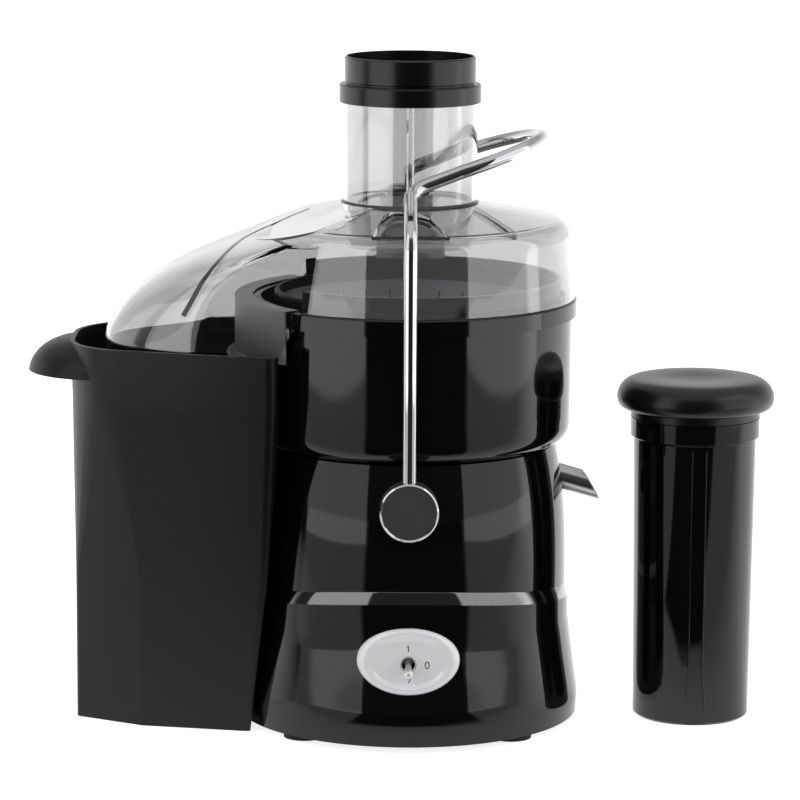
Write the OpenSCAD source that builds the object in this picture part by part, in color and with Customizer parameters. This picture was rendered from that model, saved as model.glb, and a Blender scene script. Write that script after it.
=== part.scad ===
// Centrifugal juicer: motor base, juice bowl with spout, strainer basket, lid with feed chute,
// locking arm, pulp bin and food pusher. Millimetres, +Z up, the table at z = 0.
// The front of the machine faces -Y. The motor's axis is the line x = axis_x, y = 0.

/* [Base] */
// Height of the rubber feet under the base
foot_h = 4; // [3:0.5:7]
// Diameter of a rubber foot
foot_d = 25; // [18:1:28]
// Distance of a foot, and of the screw in it, from the motor's axis
foot_reach = 86; // [80:1:88]
// Height of the motor housing, from its lower edge to the deck under the bowl
housing_h = 164; // [160:1:180]
// Largest radius of the housing, at the band near the table
base_r = 103; // [102:0.5:106]
// Height of the widest band above the table
band_h = 16; // [13:1:20]
// Radius of the waist above the band
waist_r = 96.8; // [96:0.2:98]
// Height of the waist above the table
waist_h = 64; // [60:1:68]
// How far the skirt stands out past the tower above it
step_w = 1.8; // [1.2:0.1:2.4]
// Height of the step at the front and back, above the table
step_h = 88; // [84:1:96]
// How much lower the step runs at the sides
step_drop = 12; // [6:1:14]
// Radius of the deck, inside its rounded shoulder
deck_r = 88.2; // [86:0.2:90]
// Wall of the moulded housing
housing_wall = 2.8; // [2.2:0.1:3.4]

/* [Bowl] */
// Outer radius of the juice bowl
bowl_r = 97; // [96:0.5:98]
// Height of the bowl from the deck to its flange
bowl_h = 76.7; // [72:0.5:84]
// Outer radius of the bowl's flange
flange_r = 100; // [99.5:0.5:101]
// Height of the flange
flange_h = 10; // [8:0.5:12]
// Height of the collar that stands inside the lid, above the flange
collar_h = 11.5; // [8:0.5:13]
// Wall of the bowl
bowl_wall = 2.6; // [2:0.1:3]
// Radius of the bowl's lower corner
bowl_corner = 12; // [8:1:16]
// Outside diameter of the steel spout
spout_d = 15; // [13:0.5:16]
// Wall of the spout's tube
spout_wall = 1; // [0.8:0.1:1.2]
// Slope of the spout below level, in degrees
spout_slope = 16; // [10:1:18]
// Reach of the spout's lip from the motor's axis
spout_reach = 115.7; // [112:0.5:118]
// Distance of the drain well from the motor's axis
well_x = 68; // [66:0.5:70]
// Inner radius of the drain well
well_r = 10.5; // [9:0.5:11]

/* [Strainer basket] */
// Outer radius of the basket's rim
basket_r = 80; // [77:0.5:83]
// Height of the basket's cone
basket_h = 58; // [52:1:60]
// Radius of the grater disc
grater_r = 47; // [42:0.5:49]
// Thickness of the mesh cone
mesh_t = 0.8; // [0.6:0.1:1]
// Slots in one ring of the mesh
mesh_slots = 30; // [24:6:36]
// Rings of slots
mesh_rings = 3; // [2:1:3]
// Teeth along one sweep of the grater disc
sweep_teeth = 6; // [4:1:7]

/* [Lid and chute] */
// Lid radius where it sits on the flange
lid_r = 98.8; // [98.5:0.1:99.2]
// Lid radius at its upper shoulder
lid_top_r = 96.5; // [95:0.5:97]
// Height of the lid's side, from the flange to the shoulder's top
lid_side_h = 47; // [44:1:52]
// Rise of the lid's top from the shoulder to the chute
lid_rise = 9; // [6:1:11]
// Radius of the lid's shoulder
lid_shoulder = 11; // [8:1:13]
// Wall of the lid
lid_wall = 2.4; // [2:0.1:2.8]
// Inside diameter of the feed chute
chute_d = 75; // [74:0.5:76]
// Height of the chute's clear tube above the lid
chute_h = 69; // [60:1:80]
// Depth that the chute reaches below the lid's top
throat_h = 25; // [20:1:28]
// Depth of the key rib inside the chute
key_depth = 3.4; // [2:0.1:3.6]
// Height of the black collar on the chute
chute_collar_h = 27; // [24:1:32]
// Wall of the chute collar's lower band
chute_band_t = 2; // [1.6:0.1:2.6]
// Reach of the pulp duct from the motor's axis
duct_reach = 183; // [178:1:186]
// Half width of the duct where it leaves the lid
duct_half_w = 78.5; // [76:0.5:79]
// Depth that the duct's skirt hangs into the bin
duct_dip = 6.5; // [5:0.5:7]

/* [Locking arm] */
// Diameter of the arm's rod
rod_d = 8; // [7:0.5:9]
// Radius of the rod's bends
rod_bend = 13; // [10:1:14]
// Depth of the pivot below the deck
pivot_drop = 23; // [21:1:26]
// Gap between the arm's legs and the bowl's flange
arm_gap = 1.5; // [1.2:0.1:2.5]
// Diameter of the pivot caps
cap_d = 34; // [30:1:36]
// Thickness of the pivot caps
cap_t = 14; // [12:0.5:15]
// Radius of the handle's round end
handle_r = 50; // [48:1:51]
// Rise of the handle, in degrees
handle_rise = 18; // [14:1:20]

/* [Switch] */
// Width of the switch bezel
bezel_w = 60; // [56:1:64]
// Height of the switch bezel
bezel_h = 39; // [36:1:42]
// Height of the bezel's centre above the table
bezel_z = 54.5; // [53:0.5:56]
// How far the bezel stands out of the housing
bezel_out = 3; // [2:0.5:4]
// Length of the toggle beyond its collar
toggle_len = 12; // [10:0.5:13]
// Swing of the toggle from off to full speed, in degrees
toggle_throw = 27; // [20:1:28]

/* [Pulp bin] */
// Height of the bin's rim
bin_h = 230; // [224:1:236]
// Reach of the bin's outer end from the motor's axis
bin_reach = 201; // [196:1:206]
// Reach of the finger lip from the motor's axis
lip_reach = 227.3; // [222:0.5:232]
// Half depth of the bin next to the machine, at the rim
bin_half_d = 84; // [82:0.5:88]
// Wall of the bin
bin_wall = 2.5; // [2:0.1:2.8]
// Gap between the bin and the widest part of the machine
bin_gap = 3; // [2:0.5:5]

/* [Pusher] */
// Distance of the standing pusher from the motor's axis
pusher_x = 172; // [168:1:180]
// Diameter of the pusher's body at its collar
pusher_d = 73.4; // [71:0.1:73.4]
// Diameter of the pusher's foot
pusher_foot_d = 69.6; // [68:0.1:70.5]
// Height of the pusher, cap included
pusher_h = 210; // [200:1:212]
// Diameter of the pusher's cap
cap_head_d = 94.3; // [88:0.5:96]
// Height of the pusher's cap
cap_head_h = 27; // [24:1:30]
// Width of the pusher's keyway
keyway_w = 8; // [6:0.5:10]

/* [Motor] */
// Diameter of the motor shaft
shaft_d = 8; // [7:0.5:8]
// Outer radius of the stator
stator_r = 43; // [41:0.5:45]
// Radius of the armature
armature_r = 22.6; // [20:0.2:23]
// Length of the stator stack
stack_h = 42; // [36:1:44]
// Blades of the cooling fan
fan_blades = 11; // [9:1:13]

/* [Hidden] */
$fn = 64;

seat = 0.3;            // gap between separate pieces that sit together
run = 0.05;            // radial clearance of a running or pressed fit
eps = 0.01;
far = 400;             // longer than anything that is cut

// Heights that several pieces share
deck_z = foot_h + housing_h;
bowl_z = deck_z + seat;
flange_z = bowl_z + bowl_h;
flange_top = flange_z + flange_h;
collar_top = flange_top + collar_h;
lid_z = flange_top + seat;
shoulder_z = lid_z + lid_side_h;
lid_top = shoulder_z + lid_rise;
tube_top = lid_top + chute_h;
throat_z = lid_top - throat_h;
pivot_z = deck_z - pivot_drop;
chute_r = chute_d / 2;
tube_r = chute_r + lid_wall;

// The machine stands off the origin so that the whole set is centred on it
pusher_reach = pusher_x + cap_head_d / 2;
axis_x = (lip_reach - pusher_reach) / 2;

// ---- helpers ------------------------------------------------------------------------------

module on_axis() { translate([axis_x, 0, 0]) children(); }

// An (x, z) outline pushed along Y, centred
module along_y(length) { rotate([90, 0, 0]) linear_extrude(height = length, center = true) children(); }

// A (y, z) outline pushed along X, centred
module along_x(length) { rotate([90, 0, 90]) linear_extrude(height = length, center = true) children(); }

module tube(r_out, r_in, h) {
    difference() {
        cylinder(r = r_out, h = h);
        translate([0, 0, -1]) cylinder(r = r_in, h = h + 2);
    }
}

// A child drawn on +X, repeated round the axis
module ring_of(count, start = 0) {
    for (i = [0:count - 1]) rotate([0, 0, start + i * 360 / count]) children();
}

function arc(cx, cy, r, a0, a1, steps = 6) =
    [for (i = [0:steps]) let(a = a0 + (a1 - a0) * i / steps) [cx + r * cos(a), cy + r * sin(a)]];

function ellipse(rx, ry, steps = 48) =
    [for (i = [0:steps - 1]) [rx * cos(i * 360 / steps), ry * sin(i * 360 / steps)]];

function unit(v) = v / norm(v);

// A solid lofted through closed rings of equal count, each a list of [x, y, z] clockwise from above,
// from the lowest ring up
module loft(rings) {
    n = len(rings[0]);
    last = len(rings) - 1;
    polyhedron(
        points = [for (ring = rings) for (p = ring) p],
        faces = concat(
            [[for (i = [n - 1:-1:0]) i]],
            [for (k = [0:last - 1]) for (i = [0:n - 1]) let(j = (i + 1) % n)
                each [[k * n + i, (k + 1) * n + j, (k + 1) * n + i], [k * n + i, k * n + j, (k + 1) * n + j]]],
            [[for (i = [0:n - 1]) last * n + i]]
        )
    );
}

// ---- base ---------------------------------------------------------------------------------

tower_r = waist_r - step_w;      // tower radius just above the step
barrel = 2.6;                    // how late the tower's side turns in towards the deck
function tower_radius(z) =
    tower_r - (tower_r - deck_r) * pow(max(0, (z - step_h) / (deck_z - step_h)), barrel);

function skirt_side(inset) = [
    [base_r - 0.7 - inset, foot_h], [base_r - inset, band_h],
    [(base_r + waist_r) / 2 - 0.6 - inset, (band_h + waist_h) / 2 + 3],
    [waist_r - inset, waist_h], [waist_r - inset, step_h + 1]
];
tower_low = waist_h + 4;
function tower_side(inset, top) = concat(
    [[tower_r - inset, tower_low]],
    [for (i = [0:16]) let(z = step_h + (top - step_h) * i / 16) [tower_radius(z) - inset, z]]
);

// The step runs in an arch, high at the front and back and low at the sides
arch_r = pow(waist_r, 2) / (2 * step_drop);
module under_arch(top) {
    translate([0, 0, top - arch_r]) rotate([90, 0, 0]) cylinder(r = arch_r, h = far, center = true, $fn = 96);
}

module housing_solid(inset, top) {
    rotate_extrude() polygon(concat([[0, tower_low]], tower_side(inset, top), [[0, top]]));
    intersection() {
        rotate_extrude() polygon(concat([[0, foot_h]], skirt_side(inset), [[0, step_h + 1]]));
        union() {
            under_arch(step_h);
            translate([0, 0, foot_h]) cylinder(r = base_r + 1, h = waist_h - foot_h);
        }
    }
}

// Screws that hold the base plate, and the posts that they bite into
screw_r = 2;
screw_head_r = 3.7;
screw_post_r = 5;
screw_post_h = 22;
screw_l = 14;
plate_t = 3;
plate_r = base_r - 0.7 - housing_wall - seat;

// Drain well of the bowl, and the spout that leaves it
spout_r = spout_d / 2;
spout_z = deck_z - 22.5;               // height of the spout's axis where it passes the housing
spout_pass_x = 92;
well_out = well_r + 2;
pocket_r = well_out + 1;
pocket_wall = 2.2;
well_floor = spout_z - 8;              // underside of the well
pocket_floor = well_floor - 1.3;
notch_r = spout_r + 1.4;
// Places its children in the spout's frame: +Z runs out along the tube
module spout_frame() {
    translate([spout_pass_x, 0, spout_z]) rotate([0, 90 + spout_slope, 0]) children();
}
module spout_notch(r, length) {
    translate([well_x, 0, spout_z]) rotate([0, 90, 0]) cylinder(r = r, h = length);
    translate([well_x, -r, spout_z]) cube([length, 2 * r, deck_z - spout_z + 1]);
}

// Posts under the deck that the motor hangs from
mount_reach = 52;
mount_post_r = 6;
mount_pad_h = 4;
stack_z = 64;                           // underside of the stator stack
end_h = 10;                             // height of the windings' ends
bracket_gap = 4;
brush_gap = 14;                         // room for the commutator and brushes below the windings
bracket_t = 4;
upper_bracket_z = stack_z + stack_h + end_h + bracket_gap;
lower_bracket_z = stack_z - end_h - brush_gap - bracket_t;
mount_z = upper_bracket_z + bracket_t;

// Pivot of the locking arm
leg_y = flange_r + arm_gap + rod_d / 2;
cap_back = leg_y - cap_t / 2;
bush_flange_t = 1.8;
boss_face = cap_back - seat - bush_flange_t;
pin_r = 4;
bush_r = pin_r + 2.5;
bush_flange_r = 11;
boss_r = 13;
boss_depth = 12;

// Opening for the cord's gland in the back
gland_z = 24;
gland_r = 6.5;
gland_bore_r = 3.6;
gland_stand = 1.4;                      // the gland's flange clears the flare of the band

seal_r = 13;

module pivot_bosses(grow = 0) {
    for (side = [-1, 1]) translate([0, side * boss_face, pivot_z])
        rotate([side * 90, 0, 0]) cylinder(r = boss_r + grow, h = boss_depth);
}

module motor_housing() {
    color([0.03, 0.03, 0.035]) on_axis() difference() {
        union() {
            difference() {
                housing_solid(0, deck_z);
                translate([0, 0, -eps]) housing_inside();
            }
            pivot_bosses();
            intersection() {
                housing_solid(0.5, deck_z);
                ring_of(4, 45) translate([foot_reach, 0, foot_h + plate_t]) {
                    cylinder(r = screw_post_r, h = screw_post_h);
                    translate([0, -1.5, 0]) cube([30, 3, screw_post_h]);
                }
            }
            ring_of(4, 45) translate([mount_reach, 0, mount_z + mount_pad_h])
                cylinder(r = mount_post_r, h = deck_z - housing_wall - mount_z - mount_pad_h + 1);
            intersection() {
                union() {
                    translate([well_x, 0, pocket_floor - pocket_wall])
                        cylinder(r = pocket_r + pocket_wall, h = deck_z - pocket_floor);
                    intersection() {
                        spout_notch(notch_r + pocket_wall, 60);
                        cylinder(r = far, h = deck_z - 1);
                    }
                }
                housing_solid(0.5, deck_z - 0.5);
            }
        }
        // the deck's holes: shaft seal, drain well and spout notch
        translate([0, 0, deck_z - 20]) cylinder(r = seal_r + run, h = 40);
        translate([well_x, 0, pocket_floor]) cylinder(r = pocket_r, h = far);
        spout_notch(notch_r, 60);
        // bores of the pivot bushes
        translate([0, 0, pivot_z]) rotate([90, 0, 0]) cylinder(r = bush_r + run, h = far, center = true);
        // opening behind the switch bezel
        switch_opening();
        translate([0, 0, gland_z]) rotate([-90, 0, 0]) cylinder(r = gland_r + run, h = far);
        ring_of(4, 45) translate([foot_reach, 0, 0]) cylinder(r = screw_r + run, h = foot_h + 20);
    }
}

// The room inside the housing, under the deck
module housing_inside() {
    difference() {
        housing_solid(housing_wall, deck_z - housing_wall);
        for (side = [-1, 1]) translate([0, side * boss_face, pivot_z])
            rotate([side * 90, 0, 0]) cylinder(r = boss_r, h = boss_depth);
    }
    cylinder(r = plate_r + seat, h = foot_h + plate_t);
}

vent_w = 4;
screw_head_h = 1.6;
module base_plate() {
    color([0.05, 0.05, 0.055]) on_axis() difference() {
        translate([0, 0, foot_h]) cylinder(r = plate_r, h = plate_t);
        ring_of(18, 10) translate([28, -vent_w / 2, 0]) cube([26, vent_w, 20]);
        cylinder(r = 12, h = 20);
        ring_of(4, 45) translate([foot_reach, 0, 0]) {
            cylinder(r = screw_r + run, h = 20);
            cylinder(r = screw_head_r + seat, h = foot_h + screw_head_h);
        }
    }
}

module foot_pads() {
    color([0.08, 0.08, 0.08]) on_axis() ring_of(4, 45) translate([foot_reach, 0, 0])
        tube(foot_d / 2, screw_head_r + seat, foot_h);
}

module base_screws() {
    color([0.6, 0.6, 0.62]) on_axis() ring_of(4, 45) translate([foot_reach, 0, foot_h]) {
        cylinder(r = screw_head_r, h = screw_head_h - eps);
        cylinder(r = screw_r, h = screw_l);
    }
}

module cord_gland() {
    gland_face = skirt_radius(gland_z);
    color([0.06, 0.06, 0.06]) on_axis() translate([0, gland_face, gland_z]) rotate([-90, 0, 0]) difference() {
        union() {
            translate([0, 0, -housing_wall - 2]) cylinder(r = gland_r, h = housing_wall + gland_stand + 3);
            translate([0, 0, gland_stand]) cylinder(r1 = gland_r + 2, r2 = gland_r, h = 4);
        }
        translate([0, 0, -housing_wall - 3]) cylinder(r = gland_bore_r, h = housing_wall + 20);
    }
}

function skirt_radius(z) = base_r - (base_r - waist_r) * max(0, (z - band_h) / (waist_h - band_h));

// ---- switch -------------------------------------------------------------------------------

bezel_face = skirt_radius(bezel_z) + bezel_out;     // reach of the bezel at its middle
dish_w = bezel_w * 0.72;
dish_h = bezel_h * 0.62;
dish_y = bezel_face - 3.2;                          // plane of the dish behind the bezel's rim
toggle_z = bezel_z - 1.5;
switch_bush_r = 5.2;
toggle_bore_r = 3.9;
toggle_pivot_y = dish_y - 6;
module switch_opening(grow = seat) {
    translate([0, 0, bezel_z]) rotate([90, 0, 0])
        linear_extrude(height = far) polygon(ellipse(bezel_w / 2 - 3 + grow, bezel_h / 2 - 3 + grow));
}

// The bezel's face keeps a set distance from the curved housing behind it
module bezel_skin(out) {
    rotate_extrude() polygon([
        [0, waist_h - 60], [skirt_radius(waist_h - 60) + out, waist_h - 60],
        [skirt_radius(band_h) + out, band_h], [(base_r + waist_r) / 2 - 0.6 + out, (band_h + waist_h) / 2 + 3],
        [waist_r + out, waist_h], [waist_r + out, step_h], [0, step_h]
    ]);
}

module switch_bezel() {
    color([0.78, 0.78, 0.8]) on_axis() difference() {
        union() {
            intersection() {
                bezel_skin(bezel_out);
                difference() {
                    translate([0, 0, bezel_z]) rotate([90, 0, 0])
                        linear_extrude(height = far) polygon(ellipse(bezel_w / 2, bezel_h / 2));
                    bezel_skin(0.2);
                }
            }
            intersection() {
                bezel_skin(1);
                translate([0, 0, bezel_z]) rotate([90, 0, 0])
                    linear_extrude(height = far) polygon(ellipse(bezel_w / 2 - 3, bezel_h / 2 - 3));
                translate([-far / 2, -far, 0]) cube([far, far - dish_y + 5, far]);
            }
        }
        translate([0, -dish_y, bezel_z - 1.5]) rotate([90, 0, 0])
            linear_extrude(height = far) polygon(ellipse(dish_w / 2, dish_h / 2));
        translate([0, 0, toggle_z]) rotate([90, 0, 0]) cylinder(r = switch_bush_r + run, h = far);
    }
}

module switch_body() {
    depth = 24;
    color([0.1, 0.1, 0.1]) on_axis() difference() {
        union() {
            translate([-9, -(dish_y - 5 - seat), toggle_z - 13]) cube([18, depth, 26]);
            translate([0, 0, toggle_z]) rotate([90, 0, 0]) cylinder(r = 4.9, h = dish_y + 0.6);
        }
        translate([0, -(dish_y - 14), toggle_z]) rotate([90, 0, 0]) cylinder(r = toggle_bore_r, h = far);
        translate([-far / 2, -(dish_y - 5 - seat) + depth, 0]) cube([far, far, far]);
    }
}

module switch_collar() {
    color([0.85, 0.85, 0.87]) on_axis() translate([0, -(dish_y + 0.1), toggle_z]) rotate([90, 0, 0])
        tube(6.2, 5, 1.4);
}

module toggle_lever() {
    color([0.8, 0.8, 0.82]) on_axis() translate([0, -toggle_pivot_y, toggle_z])
        rotate([90 + toggle_throw / 2, 0, 0]) {
            sphere(r = 3.3);
            rotate([0, 90, 0]) cylinder(r = 1.1, h = 2 * toggle_bore_r - 0.4, center = true);
            cylinder(r1 = 1.7, r2 = 1.9, h = 8);
            translate([0, 0, 7.9]) cylinder(r1 = 1.9, r2 = 2.7, h = toggle_len - 3);
            translate([0, 0, toggle_len + 4.8]) intersection() {
                sphere(r = 2.75);
                translate([0, 0, 1.8]) cube(5.6, center = true);
            }
        }
}

// ---- motor --------------------------------------------------------------------------------

pole_a = 50;                            // half angle of a pole shoe
coil_in = armature_r + 3;
coil_out = stator_r - 8.5;
bearing_r = 11;
bearing_h = 7;
pillar_r = 3;

module sector(r_out, r_in, a0, a1, h) {
    rotate([0, 0, a0]) rotate_extrude(angle = a1 - a0) translate([r_in, 0]) square([r_out - r_in, h]);
}

module motor_stator() {
    color([0.45, 0.45, 0.47]) on_axis() translate([0, 0, stack_z]) {
        tube(stator_r, stator_r - 8, stack_h);
        for (side = [0, 180]) rotate([0, 0, side]) {
            sector(armature_r + 2.6, armature_r + 0.6, -pole_a, pole_a, stack_h);
            translate([armature_r + 1.6, -9, 0]) cube([stator_r - 8 - armature_r, 18, stack_h]);
        }
    }
}

coil_a = 62;                            // half angle of a winding
limb_a = 34;                            // angle of the limbs that run through the stack
module field_windings() {
    color([0.72, 0.35, 0.16]) on_axis() for (side = [0, 180]) rotate([0, 0, side]) {
        for (z = [stack_z - end_h, stack_z + stack_h + seat])
            translate([0, 0, z]) sector(coil_out, coil_in, -coil_a, coil_a, end_h - seat);
        for (start = [2 - coil_a, coil_a - 2 - limb_a]) rotate([0, 0, start])
            translate([0, 0, stack_z - 2]) sector(coil_out - 0.6, coil_in + 0.6, 0, limb_a, stack_h + 4);
    }
}

module bracket_spider(bearing_z) {
    difference() {
        union() {
            tube(stator_r, stator_r - 6, bracket_t);
            for (a = [45, 135]) rotate([0, 0, a]) translate([-stator_r + 0.6, -5, 0]) cube([2 * stator_r - 1.2, 10, bracket_t]);
            translate([0, 0, bearing_z]) cylinder(r = bearing_r + 3, h = bearing_h + 2);
        }
        translate([0, 0, bearing_z + (bearing_z < 0 ? -1 : 2)]) cylinder(r = bearing_r + run, h = bearing_h + 1);
        translate([0, 0, -20]) cylinder(r = shaft_d / 2 + 1.5, h = 40);
    }
}

module upper_bracket() {
    color([0.55, 0.56, 0.58]) on_axis() {
        translate([0, 0, upper_bracket_z]) bracket_spider(0);
        ring_of(4, 45) {
            translate([stator_r - 4, 0, stack_z + stack_h]) cylinder(r = pillar_r, h = end_h + bracket_gap + 1);
            translate([stator_r - 4, -5, upper_bracket_z]) cube([mount_reach - stator_r + 4, 10, bracket_t]);
            translate([mount_reach, 0, upper_bracket_z]) cylinder(r = mount_post_r + 1, h = bracket_t);
        }
    }
}

module lower_bracket() {
    color([0.55, 0.56, 0.58]) on_axis() {
        translate([0, 0, lower_bracket_z]) bracket_spider(bracket_t - bearing_h - 2);
        ring_of(4, 45) translate([stator_r - 4, 0, lower_bracket_z + bracket_t - 1])
            cylinder(r = pillar_r, h = stack_z - lower_bracket_z - bracket_t + 1);
    }
}

comm_r = 10;
comm_z = lower_bracket_z + bracket_t + 2;
comm_h = 15;
brush_h = 9;
brush_w = 6;
holder_w = 8;
holder_t = 4.5;

module brush_holders() {
    color([0.65, 0.5, 0.25]) on_axis() for (side = [0, 180]) rotate([0, 0, 90 + side]) {
        translate([comm_r + seat, -brush_w / 2, comm_z + 2]) cube([stator_r - holder_t + 0.5 - comm_r, brush_w, brush_h]);
        translate([stator_r - holder_t - 0.5, -holder_w / 2, lower_bracket_z + bracket_t])
            cube([holder_t, holder_w, comm_z + 2 + brush_h + 2 - lower_bracket_z - bracket_t]);
    }
}

module motor_mounts() {
    color([0.08, 0.08, 0.08]) on_axis() ring_of(4, 45)
        translate([mount_reach, 0, mount_z]) cylinder(r = mount_post_r, h = mount_pad_h);
}

module bearing() {
    tube(bearing_r, bearing_r - 2, bearing_h);
    tube(shaft_d / 2 + 2.2, shaft_d / 2 + run, bearing_h);
    translate([0, 0, 0.6]) tube(bearing_r - 1.5, shaft_d / 2 + 2, bearing_h - 1.2);
}
module upper_bearing() {
    color([0.75, 0.75, 0.78]) on_axis() translate([0, 0, upper_bracket_z + 2]) bearing();
}
module lower_bearing() {
    color([0.75, 0.75, 0.78]) on_axis() translate([0, 0, lower_bracket_z + bracket_t - bearing_h - 2]) bearing();
}

module shaft_seal() {
    color([0.15, 0.05, 0.05]) on_axis() translate([0, 0, deck_z - housing_wall - 1]) difference() {
        union() {
            cylinder(r = seal_r, h = housing_wall + 1);
            cylinder(r = seal_r + 2, h = 1 - eps);
        }
        translate([0, 0, -1]) cylinder(r = shaft_d / 2 + run, h = 20);
    }
}

coupling_z = deck_z + 2;
coupling_r = 14;
coupling_h = 20;
shaft_low = 12;
module motor_shaft() {
    color([0.7, 0.7, 0.72]) on_axis() translate([0, 0, shaft_low])
        cylinder(r = shaft_d / 2, h = coupling_z + coupling_h - 3 - shaft_low);
}

module armature() {
    color([0.4, 0.38, 0.36]) on_axis() translate([0, 0, stack_z]) difference() {
        union() {
            cylinder(r = armature_r, h = stack_h);
            for (z = [-6, stack_h]) translate([0, 0, z]) cylinder(r = armature_r - 4, h = 6);
        }
        ring_of(12) translate([armature_r - 4, -1, -1]) cube([10, 2, stack_h + 2]);
        translate([0, 0, -10]) cylinder(r = shaft_d / 2 + run, h = far);
    }
}

module commutator() {
    color([0.75, 0.4, 0.2]) on_axis() translate([0, 0, comm_z]) difference() {
        cylinder(r = comm_r, h = comm_h);
        ring_of(16) translate([comm_r - 1, -0.3, -1]) cube([5, 0.6, far]);
        translate([0, 0, -1]) cylinder(r = shaft_d / 2 + run, h = far);
    }
}

fan_z = 14;
fan_r = 38;
fan_h = 14;
module cooling_fan() {
    color([0.85, 0.85, 0.82]) on_axis() translate([0, 0, fan_z]) difference() {
        union() {
            cylinder(r = 9, h = fan_h);
            translate([0, 0, fan_h - 2]) cylinder(r = fan_r, h = 2);
            ring_of(fan_blades) translate([7, -0.9, 0]) rotate([0, 0, 12]) cube([fan_r - 9, 1.8, fan_h - 1]);
        }
        translate([0, 0, -1]) cylinder(r = shaft_d / 2 + run, h = far);
    }
}

module drive_coupling() {
    color([0.12, 0.12, 0.12]) on_axis() translate([0, 0, coupling_z]) difference() {
        cylinder(r = coupling_r, h = coupling_h);
        ring_of(6) translate([coupling_r + 1.5, 0, 6]) cylinder(r = 3.5, h = far);
        translate([0, 0, -1]) cylinder(r = shaft_d / 2 + run, h = coupling_h - 1);
    }
}

// ---- bowl ---------------------------------------------------------------------------------

hub_tube_r = coupling_r + 6.5;          // outside of the bowl's centre tube
hub_tube_h = 18;
bowl_floor = bowl_z + bowl_wall;
collar_r = bowl_r - 6.4;
duct_gate = 66;                         // half width of the gap that the pulp leaves through

module juice_bowl() {
    inner_corner = bowl_corner - bowl_wall;
    side_r = bowl_r - 0.4;
    color([0.03, 0.03, 0.035]) on_axis() difference() {
        rotate_extrude() polygon(concat(
            [[hub_tube_r - bowl_wall, bowl_z]],
            arc(side_r - bowl_corner, bowl_z + bowl_corner, bowl_corner, -90, 0),
            [[bowl_r, flange_z - 0.3], [flange_r, flange_z], [flange_r, flange_top - 1],
             [flange_r - 1, flange_top], [collar_r, flange_top], [collar_r, collar_top],
             [collar_r - bowl_wall, collar_top], [collar_r - bowl_wall, flange_top - bowl_wall],
             [bowl_r - bowl_wall, flange_top - bowl_wall]],
            arc(side_r - bowl_corner, bowl_z + bowl_corner, inner_corner, 0, -90),
            [[hub_tube_r, bowl_floor], [hub_tube_r, bowl_z + hub_tube_h],
             [hub_tube_r - bowl_wall, bowl_z + hub_tube_h]]
        ));
        translate([well_x, 0, bowl_z - 1]) cylinder(r = well_r, h = bowl_wall + 2);
        // the gate in the collar, towards the duct
        translate([-far, -duct_gate, flange_top]) cube([far, 2 * duct_gate, far]);
    }
}

// Cup welded under the hole in the bowl's floor, with the socket of the spout in its wall
module drain_well() {
    color([0.03, 0.03, 0.035]) on_axis() difference() {
        translate([well_x, 0, well_floor]) cylinder(r = well_out, h = bowl_z - well_floor);
        translate([well_x, 0, well_floor + 2]) cylinder(r = well_r, h = bowl_z - well_floor);
        intersection() {
            spout_frame() translate([0, 0, -spout_bore_l / 2]) cylinder(r = spout_r + run, h = spout_bore_l);
            translate([well_x, -far / 2, 0]) cube([far, far, deck_z]);
        }
    }
}

spout_bore_l = 80;               // longer than the way from the well to the pass
mouth_rake = 30;
module juice_spout() {
    lip_z = spout_z - (spout_reach - spout_pass_x) * tan(spout_slope) - spout_r / cos(spout_slope);
    color([0.8, 0.8, 0.82]) on_axis() difference() {
        intersection() {
            spout_frame() translate([0, 0, -spout_bore_l / 2]) cylinder(r = spout_r, h = spout_reach);
            translate([well_x, 0, spout_z]) rotate([0, 90, 0])
                translate([0, 0, well_r * 0.9]) cylinder(r = far, h = far);
        }
        spout_frame() cylinder(r = spout_r - spout_wall, h = far, center = true);
        // the mouth is raked back from its lower lip
        translate([spout_reach, 0, lip_z]) rotate([0, -mouth_rake, 0]) translate([0, -far / 2, -far / 2]) cube(far);
        translate([well_x, 0, 0]) cylinder(r = well_r + 0.2, h = far);
    }
}

module lid_gasket() {
    color([0.12, 0.12, 0.12]) on_axis() difference() {
        translate([0, 0, flange_top]) tube(collar_r + 2.4, collar_r + 0.2, 2.2);
        translate([-far, -duct_gate - 2, flange_top - 1]) cube([far, 2 * duct_gate + 4, far]);
    }
}

// ---- strainer basket ----------------------------------------------------------------------

plate_z = bowl_z + 30;                  // underside of the basket's floor
floor_t = 3;
floor_r = grater_r + 3;
rim_h = 6;
rim_w = 3;
cone_low = plate_z + floor_t;
cone_top = cone_low + basket_h - rim_h;
cone_top_r = basket_r - rim_w;
function cone_r(z) = floor_r + (cone_top_r - floor_r) * (z - cone_low) / (cone_top - cone_low);

module cone_shell(inner, t, z0, z1) {
    rotate_extrude() polygon([
        [cone_r(z0) + inner, z0], [cone_r(z0) + inner + t, z0],
        [cone_r(z1) + inner + t, z1], [cone_r(z1) + inner, z1]
    ]);
}

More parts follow.
